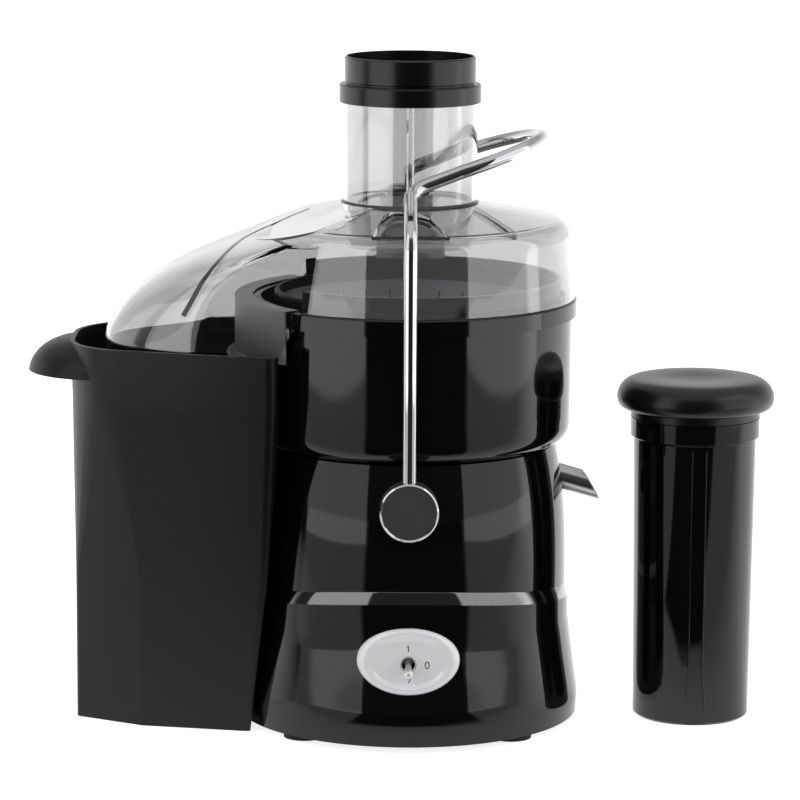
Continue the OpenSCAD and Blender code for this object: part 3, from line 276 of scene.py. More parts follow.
def smoke_clear(look):
    # Injection-moulded clear styrene acrylonitrile with a little smoke tint: the walls darken
    # what lies behind them, more where more walls are passed
    material, tree, out = new_material("smoke SAN")
    shader = add(tree, "ShaderNodeBsdfPrincipled", {
        "Base Color": linear(look.lid_tint), "Roughness": 0.015, "IOR": 1.45, "Transmission Weight": 1.0,
        "Coat Weight": look.lid_coat, "Coat IOR": 2.0, "Coat Roughness": 0.02,
    })
    tree.links.new(shader.outputs[0], out.inputs["Surface"])
    return material


def painted_edge_shade_smoke():
    # The same plastic where the eye looks along it and not across: little light comes through, and that loss is
    # painted in as a dark base colour and cut transmission, painted shade
    material, tree, out = new_material("smoke SAN, edge on")
    shader = add(tree, "ShaderNodeBsdfPrincipled", {
        "Base Color": linear("4a4a4c"), "Roughness": 0.05, "IOR": 1.45, "Transmission Weight": 0.3,
    })
    tree.links.new(shader.outputs[0], out.inputs["Surface"])
    return material


def painted_light_smoke():
    # The same plastic drawn as a pale near-metal sheet, which throws the room's light back as a pale veil: painted
    # light that stands in for the lighter zone seen in the duct near the bowl
    material, tree, out = new_material("smoke SAN, painted light")
    shader = add(tree, "ShaderNodeBsdfPrincipled", {
        "Base Color": linear("dededf"), "Metallic": 0.85, "Roughness": 0.42,
    })
    tree.links.new(shader.outputs[0], out.inputs["Surface"])
    return material


def thick_smoke():
    # The same plastic in the solid blocks that the arm locks over: darker, as the light goes further through it
    material, tree, out = new_material("smoke SAN, solid")
    shader = add(tree, "ShaderNodeBsdfPrincipled", {
        "Base Color": linear("a0a0a2"), "Roughness": 0.12, "IOR": 1.45, "Transmission Weight": 1.0,
    })
    tree.links.new(shader.outputs[0], out.inputs["Surface"])
    return material


def chrome_plate():
    # Bright chrome on bent steel rod: a clean dark-edged mirror
    material, tree, out = new_material("chrome plate")
    shader = add(tree, "ShaderNodeBsdfPrincipled", {
        "Base Color": linear("dcdde0"), "Metallic": 1.0, "Roughness": 0.04,
    })
    tree.links.new(shader.outputs[0], out.inputs["Surface"])
    return material


def nickel_plate():
    # Bright nickel on a turned lever: a mirror blurred a little by the turning
    material, tree, out = new_material("nickel plate")
    shader = add(tree, "ShaderNodeBsdfPrincipled", {
        "Base Color": linear("efeeea"), "Metallic": 0.55, "Roughness": 0.2,
    })
    tree.links.new(shader.outputs[0], out.inputs["Surface"])
    return material


def print_ink():
    # Pad-printed ink: flat and near black
    material, tree, out = new_material("black printing ink")
    shader = add(tree, "ShaderNodeBsdfPrincipled", {"Base Color": linear("1c1c1e"), "Roughness": 0.6})
    tree.links.new(shader.outputs[0], out.inputs["Surface"])
    return material


def stainless():
    # Drawn stainless steel: a soft grain along the metal, greyer than chrome
    material, tree, out = new_material("drawn stainless steel")
    place = add(tree, "ShaderNodeTexCoord")
    grain = add(tree, "ShaderNodeTexNoise", {"Scale": 900.0, "Detail": 2.0}, {"Vector": place.outputs["Object"]})
    rough = add(tree, "ShaderNodeMapRange", {"To Min": 0.16, "To Max": 0.28}, {"Value": grain.outputs["Fac"]})
    shader = add(tree, "ShaderNodeBsdfPrincipled", {
        "Base Color": linear("c4c5c8"), "Metallic": 1.0,
    }, {"Roughness": rough.outputs["Result"]})
    tree.links.new(shader.outputs[0], out.inputs["Surface"])
    return material


def spun_metal(look):
    # Dark anodised aluminium, faced on a lathe: fine rings that pull the light into a fan
    material, tree, out = new_material("spun dark aluminium")
    place = add(tree, "ShaderNodeTexCoord")
    centre = add(tree, "ShaderNodeMapping", {"Location": (-AXIS_X, 0.0, -look.pivot_z)},
                 {"Vector": place.outputs["Object"]})
    # rings about 0.3 mm apart
    rings = add(tree, "ShaderNodeTexWave", {"Scale": 1000.0, "Distortion": 0.4, "Detail": 1.0},
                {"Vector": centre.outputs["Vector"]}, wave_type="RINGS", rings_direction="Y")
    bump = add(tree, "ShaderNodeBump", {"Strength": 0.25, "Distance": 0.0001}, {"Height": rings.outputs["Fac"]})
    shader = add(tree, "ShaderNodeBsdfPrincipled", {
        "Base Color": linear("4a4a4c"), "Metallic": 0.4, "Roughness": 0.34,
    }, {"Normal": bump.outputs["Normal"]})
    tree.links.new(shader.outputs[0], out.inputs["Surface"])
    return material


def silver_paint():
    # Silver-grey paint over plastic: fine metal flake under a thin clear coat
    material, tree, out = new_material("silver paint")
    place = add(tree, "ShaderNodeTexCoord")
    flake = add(tree, "ShaderNodeTexNoise", {"Scale": 2500.0, "Detail": 1.0}, {"Vector": place.outputs["Object"]})
    tone = add(tree, "ShaderNodeMix", {"A": linear("e4e5e8"), "B": linear("f0f1f4")},
               {"Factor": flake.outputs["Fac"]}, data_type="RGBA")
    shader = add(tree, "ShaderNodeBsdfPrincipled", {
        "Metallic": 0.15, "Roughness": 0.3, "Coat Weight": 0.6, "Coat Roughness": 0.2,
    }, {"Base Color": tone.outputs["Result"]})
    tree.links.new(shader.outputs[0], out.inputs["Surface"])
    return material


def rubber():
    # Moulded nitrile rubber: dull, with a dusty fine grain
    material, tree, out = new_material("nitrile rubber")
    place = add(tree, "ShaderNodeTexCoord")
    grain = add(tree, "ShaderNodeTexNoise", {"Scale": 1500.0, "Detail": 2.0}, {"Vector": place.outputs["Object"]})
    bump = add(tree, "ShaderNodeBump", {"Strength": 0.2, "Distance": 0.0002}, {"Height": grain.outputs["Fac"]})
    shader = add(tree, "ShaderNodeBsdfPrincipled", {
        "Base Color": linear("131313"), "Roughness": 0.75, "IOR": 1.5,
    }, {"Normal": bump.outputs["Normal"]})
    tree.links.new(shader.outputs[0], out.inputs["Surface"])
    return material


def machined(name, colour, roughness):
    # Bare inner metal with the light scratches of handling
    material, tree, out = new_material(name)
    place = add(tree, "ShaderNodeTexCoord")
    scratch = add(tree, "ShaderNodeTexNoise", {"Scale": 700.0, "Detail": 3.0}, {"Vector": place.outputs["Object"]})
    rough = add(tree, "ShaderNodeMapRange", {"To Min": roughness - 0.06, "To Max": roughness + 0.06},
                {"Value": scratch.outputs["Fac"]})
    shader = add(tree, "ShaderNodeBsdfPrincipled", {"Base Color": linear(colour), "Metallic": 1.0},
                 {"Roughness": rough.outputs["Result"]})
    tree.links.new(shader.outputs[0], out.inputs["Surface"])
    return material


def nylon():
    # Natural nylon: slightly translucent off-white
    material, tree, out = new_material("nylon")
    place = add(tree, "ShaderNodeTexCoord")
    cloud = add(tree, "ShaderNodeTexNoise", {"Scale": 300.0, "Detail": 2.0}, {"Vector": place.outputs["Object"]})
    tone = add(tree, "ShaderNodeMix", {"A": linear("d9d6cc"), "B": linear("e6e3da")},
               {"Factor": cloud.outputs["Fac"]}, data_type="RGBA")
    shader = add(tree, "ShaderNodeBsdfPrincipled", {"Roughness": 0.45, "IOR": 1.53},
                 {"Base Color": tone.outputs["Result"]})
    tree.links.new(shader.outputs[0], out.inputs["Surface"])
    return material


# ---- what a user can change ----------------------------------------------------------------


class JuicerLook(bpy.types.PropertyGroup):
    gloss_roughness: FloatProperty(
        name="Gloss roughness", description="Roughness of the polished black plastic",
        default=0.05, min=0.0, max=0.3)
    collar_roughness: FloatProperty(
        name="Collar roughness", description="Roughness of the chute collar's satin plastic",
        default=0.25, min=0.0, max=0.6)
    head_roughness: FloatProperty(
        name="Head roughness", description="Roughness of the pusher head's satin plastic",
        default=0.3, min=0.0, max=0.6)
    satin_roughness: FloatProperty(
        name="Satin roughness", description="Roughness of the pulp bin's grained plastic",
        default=0.38, min=0.2, max=0.8)
    lid_tint: StringProperty(
        name="Lid tint", description="sRGB hex colour that one wall face of the lid lets through",
        default="d6d6d6")
    lid_coat: FloatProperty(
        name="Lid coat", description="Strength of the hard coat over the lid, which mirrors the room",
        default=0.8, min=0.0, max=1.0)
    pivot_z: FloatProperty(name="Pivot height", description="Height of the locking arm's pivot",
                           default=0.145, unit="LENGTH")


class JuicerStudio(bpy.types.PropertyGroup):
    camera_distance: FloatProperty(name="Camera distance", description="Level distance from the machine's axis",
                                   default=2.302, unit="LENGTH")
    camera_height: FloatProperty(name="Camera height", description="Height of the camera above the table",
                                 default=0.5973, unit="LENGTH")
    camera_side: FloatProperty(name="Camera side", description="How far the camera stands to the left of the front",
                               default=math.radians(0.4), subtype="ANGLE")
    camera_aim: FloatProperty(name="Camera aim", description="Turn of the camera off the machine's axis",
                              default=math.radians(0.128), subtype="ANGLE")
    camera_pitch: FloatProperty(name="Camera pitch", description="Tilt of the camera below level",
                                default=math.radians(10), subtype="ANGLE")
    camera_roll: FloatProperty(name="Camera roll", description="Roll of the camera",
                               default=math.radians(0.3), subtype="ANGLE")
    lens: FloatProperty(name="Lens", description="Focal length in millimetres on a 36 mm sensor", default=175.5)
    box_level: FloatProperty(name="Softbox level", description="Brightness of the two softboxes", default=1.0)
    room_level: FloatProperty(name="Room level", description="Brightness of the room on matt surfaces", default=0.65)
    table_level: FloatProperty(
        name="Table level", description="Brightness of the table under the softboxes, in mirrors", default=0.55)
    top_level: FloatProperty(name="Top level", description="Brightness of the overhead panel, in mirrors", default=0.6)
    through_level: FloatProperty(
        name="Through level", description="Brightness of the room in front, through the clear lid", default=0.6)
    back_level: FloatProperty(name="Back level", description="Brightness of the room over the backdrop, in mirrors",
                              default=0.4)
    dark_level: FloatProperty(name="Dark level", description="Brightness of the room in front, as mirrors show it",
                              default=0.05)


# ---- pieces --------------------------------------------------------------------------------


class JUICER_OT_finishes(bpy.types.Operator):
    """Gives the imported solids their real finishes"""
    bl_idname = "juicer.finishes"
    bl_label = "Finishes"

    def execute(self, context):
        look = context.scene.juicer_look
        black = gloss_abs("gloss ABS", look.gloss_roughness)
        dull = gloss_abs("satin ABS", look.collar_roughness)
        grained = satin_plastic(look)
        chrome = chrome_plate()
        steel = stainless()
        spun_face = spun_metal(look)
        soft = rubber()
        dress(["motor_housing", "juice_bowl", "drain_well", "pusher_body"], black)
        dress(["chute_collar", "pusher_cap"], dull)
        dress(["base_plate", "switch_body", "cooling_fan", "drive_coupling", "basket_frame", "pulp_bin"], grained)
        dress(["locking_arm", "front_cap_ring", "rear_cap_ring"], chrome)
        dress(["toggle_lever"], nickel_plate())
        dress(["juice_spout"], steel)
        dress(["filter_mesh", "grater_disc"], machined("perforated stainless steel", "8a8b8e", 0.34))
        dress(["front_pivot_cap", "rear_pivot_cap"], spun_face)
        dress(["foot_pads", "cord_gland", "motor_mounts", "shaft_seal", "lid_gasket"], soft)
        dress(["switch_bezel", "switch_collar"], silver_paint())
        dress(["base_screws", "front_pivot_pin", "rear_pivot_pin"], machined("zinc plate", "b9bcc0", 0.3))
        dress(["motor_stator", "armature"], machined("electrical steel", "6b6c6f", 0.4))
        dress(["upper_bearing", "lower_bearing", "motor_shaft"], machined("ground steel", "c9cacd", 0.18))
        dress(["upper_bracket", "lower_bracket"], machined("cast aluminium", "a9abae", 0.45))
        dress(["field_windings", "commutator"], machined("enamelled copper", "b06a3c", 0.35))
        dress(["brush_holders"], machined("brass", "c9a256", 0.3))
        dress(["front_pivot_bush", "rear_pivot_bush"], nylon())
        shading = smooth_moulding(28.0)
        for obj in NODES.values():
            obj.modifiers.new("smooth moulding", "NODES").node_group = shading
        return {"FINISHED"}


# The lid, in millimetres from the motor's axis
LID_Z, SHOULDER_Z, LID_TOP, TUBE_TOP, THROAT_Z = 255.3, 302.3, 311.3, 380.3, 286.3
CHUTE_R, TUBE_R, WALL = 37.5, 39.9, 2.4
LID_R, LID_TOP_R, SHOULDER_R, FLANGE_R = 98.8, 96.5, 11.0, 100.0
SKIRT_Z, DUCT_ROOT, DUCT_REACH, DUCT_FALL = 223.5, 42.0, 183.0, 81.8
# The roof line from the end of the duct up to the chute: (share of the height, share of the reach)
ROOF = [(0, 1), (0.175, 0.975), (0.322, 0.922), (0.447, 0.851), (0.555, 0.766), (0.65, 0.667), (0.73, 0.553),
        (0.82, 0.4), (0.9, 0.24), (1, 0)]
# The rib that crosses the duct's skin, from its foot at the skirt to the chute: place, outward normal, half width
RIB = [
    (-131.6, -64.4, 251.7, -0.35, -0.93, 0.09, 1.4), (-126.3, -65.2, 261.2, -0.4, -0.9, 0.19, 1.35),
    (-121.1, -65.0, 270.7, -0.46, -0.81, 0.36, 1.3), (-115.9, -62.6, 277.9, -0.5, -0.44, 0.75, 1.25),
    (-111.0, -54.8, 283.1, -0.41, -0.18, 0.89, 1.2), (-105.4, -36.0, 287.4, -0.34, -0.05, 0.94, 1.2),
    (-98.8, -13.7, 290.3, -0.3, -0.02, 0.95, 1.1), (-91.8, 0.0, 292.6, -0.29, 0.0, 0.96, 1.0),
    (-85.7, 9.0, 294.4, -0.28, 0.0, 0.96, 0.85), (-77.5, 24.6, 296.2, -0.26, 0.0, 0.97, 0.7),
    (-69.1, 37.2, 298.4, -0.26, 0.0, 0.97, 0.5), (-60.6, 46.9, 300.7, -0.26, 0.0, 0.97, 0.35),
]


# The duct's half width where it leaves the lid, the place of that in x, and how fast it narrows from there
DUCT_HALF, DUCT_MOUTH, DUCT_TAPER = 78.5, -62, 0.206
# Where the duct's sides start, inside the round cover
SIDE_START = -40
# The lock humps' half length along X, and the height that they start from
HUMP_HALF, HUMP_BASE = 22, SHOULDER_Z - 10
# Steps of the round parts of the lid
ROUND_STEPS = 160


def side_width(x):
    """Half the duct's width at a place along X."""
    return DUCT_HALF - (DUCT_MOUTH - x) * DUCT_TAPER


def duct_level(z, inset):
    """One level of the duct: straight sides that close in a rounded end, rounder towards the skirt."""
    g = min(max((z + inset - SKIRT_Z) / DUCT_FALL, 0), 1)
    tip = -DUCT_ROOT - (DUCT_REACH - DUCT_ROOT) * smooth_lookup(ROOF, g) + inset
    side = tip + 70 * (1 - g ** 1.5)
    width = side_width(side) - inset
    places = [at(SIDE_START + inset, side_width(SIDE_START) - inset, z)]
    for i in range(37):
        a = math.radians(90 - i * 5)
        places.append(at(side - (side - tip) * math.cos(a), width * math.sin(a), z))
    places.append(at(SIDE_START + inset, -side_width(SIDE_START) + inset, z))
    return places


def duct_solid(inset, low):
    """The duct's outside, or with an inset its inside, from a level up to its roof."""
    heights = [i * 2.0 for i in range(1, 36)] + [71.5]
    return lofted([duct_level(low, inset)] + [duct_level(SKIRT_Z + h - inset, inset) for h in heights])


def lid_round(inset, low):
    """The round cover's outside, or with an inset its inside, from a level up to its top."""
    r = SHOULDER_R - inset
    cx, cz = LID_TOP_R - SHOULDER_R, SHOULDER_Z - SHOULDER_R
    outline = [(0, low), (LID_R - inset, low)]
    outline += [(cx + r * math.cos(math.radians(a)), cz + r * math.sin(math.radians(a))) for a in range(4, 81, 4)]
    outline += [(TUBE_R, LID_TOP - inset), (0, LID_TOP - inset)]
    return spun([(r * MM, z * MM) for r, z in outline], (AXIS_X, 0, 0), steps=ROUND_STEPS)


def above_roof(inset):
    """What lies over the slanting flat that runs down from the cover's top to the duct's roof."""
    bm = bmesh.new()
    bmesh.ops.create_cube(bm, size=1.0)
    bmesh.ops.translate(bm, verts=bm.verts, vec=(0, 0, 0.5))
    bmesh.ops.rotate(bm, verts=bm.verts, matrix=Matrix.Rotation(math.radians(-15), 3, "Y"))
    bmesh.ops.translate(bm, verts=bm.verts, vec=at(-DUCT_ROOT, 0, LID_TOP - 5.6 - inset))
    return bm


# The front outline of the lock humps, as (x, z)
HUMP_FRONT = [(-HUMP_HALF, HUMP_BASE), (-HUMP_HALF, LID_TOP - 9), (-17, LID_TOP - 3), (-11, LID_TOP + 1),
              (-6, LID_TOP + 1.4), (6, LID_TOP - 0.5), (11, LID_TOP - 1.6), (HUMP_HALF, LID_TOP - 9),
              (HUMP_HALF, HUMP_BASE)]


def hump(inset, side):
    """The block that the arm locks over, from its front outline and its side outline."""
    top = LID_TOP - inset
    front = [(math.copysign(min(abs(x), HUMP_HALF - inset), x), z if z == HUMP_BASE else z - inset)
             for x, z in HUMP_FRONT]
    sides = [(-90 + inset, HUMP_BASE), (-90 + inset, top - 10.5), (-68, top + 1.4), (-60, top + 1.4),
             (-46 - inset, LID_TOP - 4), (-46 - inset, HUMP_BASE)]
    body = solid_object("hump", prism(front, "Y", -95, 95))
    cutter = solid_object("hump side", prism([(y * side, z) for y, z in sides], "X", -60, 60))
    return combined(body, [("INTERSECT", cutter)])


def strip(points):
    """A bent upright strip through (middle, top, bottom, half width) points."""
    rings = []
    for i, (middle, high, low, half) in enumerate(points):
        run = (points[min(i + 1, len(points) - 1)][0] - points[max(i - 1, 0)][0]).normalized()
        across = Vector((-run.y, run.x, 0)) * half
        rings.append([at(*(middle + across).xy, high), at(*(middle - across).xy, high),
                      at(*(middle - across).xy, low), at(*(middle + across).xy, low)])
    return lofted(rings)


def disc(radius, low, high):
    """A solid disc on the motor's axis, between two levels."""
    return spun([(0, low * MM), (radius * MM, low * MM), (radius * MM, high * MM), (0, high * MM)],
                (AXIS_X, 0, 0), steps=ROUND_STEPS)


def tool(bm):
    """A solid for boolean work."""
    return solid_object("tool", bm)


class JUICER_OT_clear_lid(bpy.types.Operator):
    """Moulds the clear lid: round cover, pulp duct with its rib, lock humps, and feed chute with its key rib"""
    bl_idname = "juicer.clear_lid"
    bl_label = "Clear lid"

    def execute(self, context):
        piece = finished("clear_lid", self.shell(), smoke_clear(context.scene.juicer_look), "machine", sharp=14.0)
        piece.modifiers.new("even shading", "WEIGHTED_NORMAL").keep_sharp = True
        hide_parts("lid")
        edge_shade = painted_edge_shade_smoke()
        # the ribs and the fillet wear the darkened smoke, whose dark base colour is painted shade
        for name, bm in (("duct_rib", self.duct_rib()), ("throat_fillet", self.throat_fillet()),
                         ("roof_rib", self.roof_rib())):
            finished(name, bm, edge_shade, "machine")
        # a pale film over the dam's face, painted light
        finished("duct_dam_light_veil", self.duct_dam_light_veil(), painted_light_smoke(), "machine")
        # the solid blocks stand inside the humps, a little narrower and lower than their outline
        block = [(x * 0.88, z - 3.2) for x, z in HUMP_FRONT]
        for name, low, high in (("front_lock_block", -87, -52), ("rear_lock_block", 52, 87)):
            finished(name, prism(block, "Y", low, high), thick_smoke(), "machine")
        # a strip of the darkened smoke along the front hump's foot: a dark piece put there as painted shade for the
        # dark band under the hump
        low, high, reach = SHOULDER_Z - 1.6, SHOULDER_Z - 0.2, HUMP_HALF + 0.5
        bar = prism([(-reach, low), (reach, low), (reach, high), (-reach, high)], "Y", -91.2, -90.2)
        finished("front_hump_shade_strip", bar, edge_shade, "machine")
        return {"FINISHED"}

    @staticmethod
    def shell():
        """The lid's walls in one solid"""
        slant = prism([(-62.5, LID_Z), (-78, SKIRT_Z), (-78, 0), (0, 0), (0, LID_Z)], "Y", -200, 200)
        duct = combined(tool(duct_solid(0, SKIRT_Z)), [
            ("DIFFERENCE", tool(disc(FLANGE_R + 0.6, 0, LID_Z))), ("DIFFERENCE", tool(slant)),
        ])
        hollow = combined(tool(lid_round(WALL, LID_Z - 1)), [("DIFFERENCE", tool(above_roof(WALL)))])
        chute = spun([(r * MM, z * MM) for r, z in (
            (CHUTE_R, TUBE_TOP), (TUBE_R, TUBE_TOP), (TUBE_R, LID_TOP - WALL), (CHUTE_R - 0.8, THROAT_Z),
            (CHUTE_R - 3, THROAT_Z), (CHUTE_R, LID_TOP))], (AXIS_X, 0, 0), steps=ROUND_STEPS)
        root, crest = -CHUTE_R - 0.5, -CHUTE_R + 3.4
        key = lofted([[at(x, y, z) for x, y in ((-2.4, root), (-1.1, crest), (1.1, crest), (2.4, root))]
                      for z in (THROAT_Z + 26, TUBE_TOP - 4)])
        # the duct's inside stops at a curved wall that keeps the pulp off the bowl's flange
        cavity = combined(tool(duct_solid(WALL, SKIRT_Z - 1)), [
            ("DIFFERENCE", tool(disc(FLANGE_R + 3, SKIRT_Z - 9, LID_Z - 1)))])
        # all the outsides first, then all the insides, so that no two faces coincide
        return combined(tool(lid_round(0, LID_Z)), [
            ("DIFFERENCE", tool(above_roof(0))), ("UNION", tool(duct)), ("UNION", tool(hump(0, 1))),
            ("UNION", tool(hump(0, -1))), ("DIFFERENCE", tool(hollow)), ("DIFFERENCE", tool(hump(WALL, 1))),
            ("DIFFERENCE", tool(hump(WALL, -1))), ("DIFFERENCE", tool(cavity)),
            ("DIFFERENCE", tool(disc(CHUTE_R + WALL / 2, 200, 420))), ("UNION", tool(chute)), ("UNION", tool(key)),
        ])

    @staticmethod
    def throat_fillet():
        """The fillet round the chute's foot, as (out from the tube, up from the lid's top)"""
        # its dark finish is painted shade for the light lost in the moulding's thick corner at the chute's foot
        outline = [(0.1, 0.15), (1.3, 0.1), (0.7, 0.9), (0.1, 1.5)]
        return spun([((TUBE_R + r) * MM, (LID_TOP + z) * MM) for r, z in outline], (AXIS_X, 0, 0), steps=ROUND_STEPS)

    @staticmethod
    def roof_rib():
        """The rib under the roof, to the right of the chute"""
        start, end, steps = Vector((38, -16, 0)), Vector((60, -64, 0)), 12
        fall = (LID_TOP - SHOULDER_Z) / (LID_TOP_R - SHOULDER_R - TUBE_R)
        rib = []
        for i in range(steps + 1):
            t = i / steps
            place = start.lerp(end, t)
            roof = LID_TOP - fall * (place.length - TUBE_R) - WALL
            rib.append((place, roof + 0.6, roof - 1.2 - 1.6 * t, 0.5 + 0.5 * t))
        return strip(rib)

    @staticmethod
    def duct_dam_light_veil():
        """A pale film on the duct's side of the wall that keeps the pulp off the bowl's flange, with the sill on top
        of it: painted light for the lighter zone in the duct
        """
        face, back, sill = FLANGE_R + 3.1, FLANGE_R + 3.5, 92.5
        outline = [(face, SKIRT_Z + 1), (back, SKIRT_Z + 1), (back, LID_Z + 0.7), (sill, LID_Z + 0.7),
                   (sill, LID_Z + 0.3), (face, LID_Z + 0.3)]
        turns = [math.radians(134 + 92 * i / 40) for i in range(41)]
        return lofted([[at(r * math.cos(a), r * math.sin(a), z) for r, z in outline] for a in turns])

    @staticmethod
    def duct_rib():
        """The narrow rib that crosses the duct's skin, let in nearly flush"""
        proud, sunk, last = 0.25, 0.8, 44
        places = []
        for k in range(last + 1):
            t = (len(RIB) - 1) * k / last
            places.append([smooth_lookup([(i, row[axis]) for i, row in enumerate(RIB)], t) for axis in range(7)])
        rings = []
        for k, row in enumerate(places):
            after, before = Vector(places[min(k + 1, last)][:3]), Vector(places[max(k - 1, 0)][:3])
            out = Vector(row[3:6]).normalized()
            across = (after - before).cross(out).normalized() * row[6]
            middle = Vector(row[:3])
            rings.append([at(*(middle + across + out * proud)), at(*(middle - across + out * proud)),
                          at(*(middle - across - out * sunk)), at(*(middle + across - out * sunk))])
        return lofted(rings)


# The step between the skirt and the tower: its radius, and how much lower it runs at the sides than in the middle
STEP_R, STEP_DROP = 96.8, 12


class JUICER_OT_step_bevel(bpy.types.Operator):
    """Slopes the step between the skirt and the tower, where the light runs round the base"""
    bl_idname = "juicer.step_bevel"
    bl_label = "Step bevel"

    def execute(self, context):
        # the tower rises inside the ring
        outline = [(96.85, 87.7), (96.7, 88.2), (95.2, 94.6), (94.9, 95.0), (94.0, 95.0), (94.0, 87.7)]
        bevel = spun([(r * MM, z * MM) for r, z in outline], (AXIS_X, 0, 0), steps=ROUND_STEPS)
        for vert in bevel.verts:
            vert.co.z -= ((vert.co.x - AXIS_X) / (STEP_R * MM)) ** 2 * STEP_DROP * MM
        piece = finished("step_bevel", bevel, edge_lacquer(), "machine", sharp=40.0)
        return {"FINISHED"}


class JUICER_OT_pusher_head(bpy.types.Operator):
    """Moulds the pusher's head, a flat-topped mushroom with a full round rim, and the lips of the keyway"""
    bl_idname = "juicer.pusher_head"
    bl_label = "Pusher head"

    def execute(self, context):
        look = context.scene.juicer_look
        low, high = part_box("pusher_cap")
        centre = Vector(((low.x + high.x) / 2, (low.y + high.y) / 2, 0))
        # (radius, height) in millimetres: socket over the body's neck, sleeve, underside, rim, top
        outline = [(0, 189.6), (32.9, 189.6), (32.9, 183.1), (38.6, 183.1), (38.6, 187.4), (41.5, 187.8),
                   (43.6, 188.3), (45.3, 189.4), (46.5, 191.3)]
        outline += [(36 + 11.1 * math.cos(math.radians(a)), 194 + 11.8 * math.sin(math.radians(a)))
                    for a in range(0, 81, 8)]
        outline += [(32, 205.9), (26, 205.9), (20, 205.6), (14, 205.0), (8, 204.6), (0, 204.5)]
        head = spun([(r * MM, z * MM) for r, z in outline], centre, steps=128)
        satin = gloss_abs("satin ABS, pusher", look.head_roughness)
        piece = finished("pusher_head", head, satin, "pusher", sharp=35.0)
        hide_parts("pusher_cap")
        # the keyway's lips are rounded, and flare towards the foot
        polish = gloss_abs("gloss ABS, lips", look.gloss_roughness)
        foot_r, growth, sunk, lip_r = 34.8, 1.9 / 170, 0.3, 0.55
        for name, side in (("left_key_lip", -1), ("right_key_lip", 1)):
            rings = []
            for x, z in ((6.7, 2.0), (4.1, 34.0), (4.1, 60.0), (4.1, 100.0), (4.1, 140.0), (4.1, 168.0)):
                r = foot_r + growth * z
                y = -math.sqrt(r * r - x * x) + sunk
                rings.append([centre + Vector((side * x + lip_r * math.cos(a), y + lip_r * math.sin(a), z)) * MM
                              for a in (math.pi * k / 6 for k in range(12))])
            finished(name, lofted(rings), polish, "pusher")
        return {"FINISHED"}


# The switch: middle of the toggle's hole in height, and the dish's floor in depth, in millimetres
TOGGLE_Z, DISH_Y = 53.0, -97.83


def stroke(path, width, front, back):
    """A printed line through (x, z) points in millimetres, from one depth to another."""
    rings = []
    for i, (x, z) in enumerate(path):
        (x0, z0), (x1, z1) = path[max(i - 1, 0)], path[min(i + 1, len(path) - 1)]
        along = Vector((x1 - x0, z1 - z0)).normalized() * width / 2
        rings.append([at(x - along.y, front, z + along.x), at(x + along.y, front, z - along.x),
                      at(x + along.y, back, z - along.x), at(x - along.y, back, z + along.x)])
    return lofted(rings)


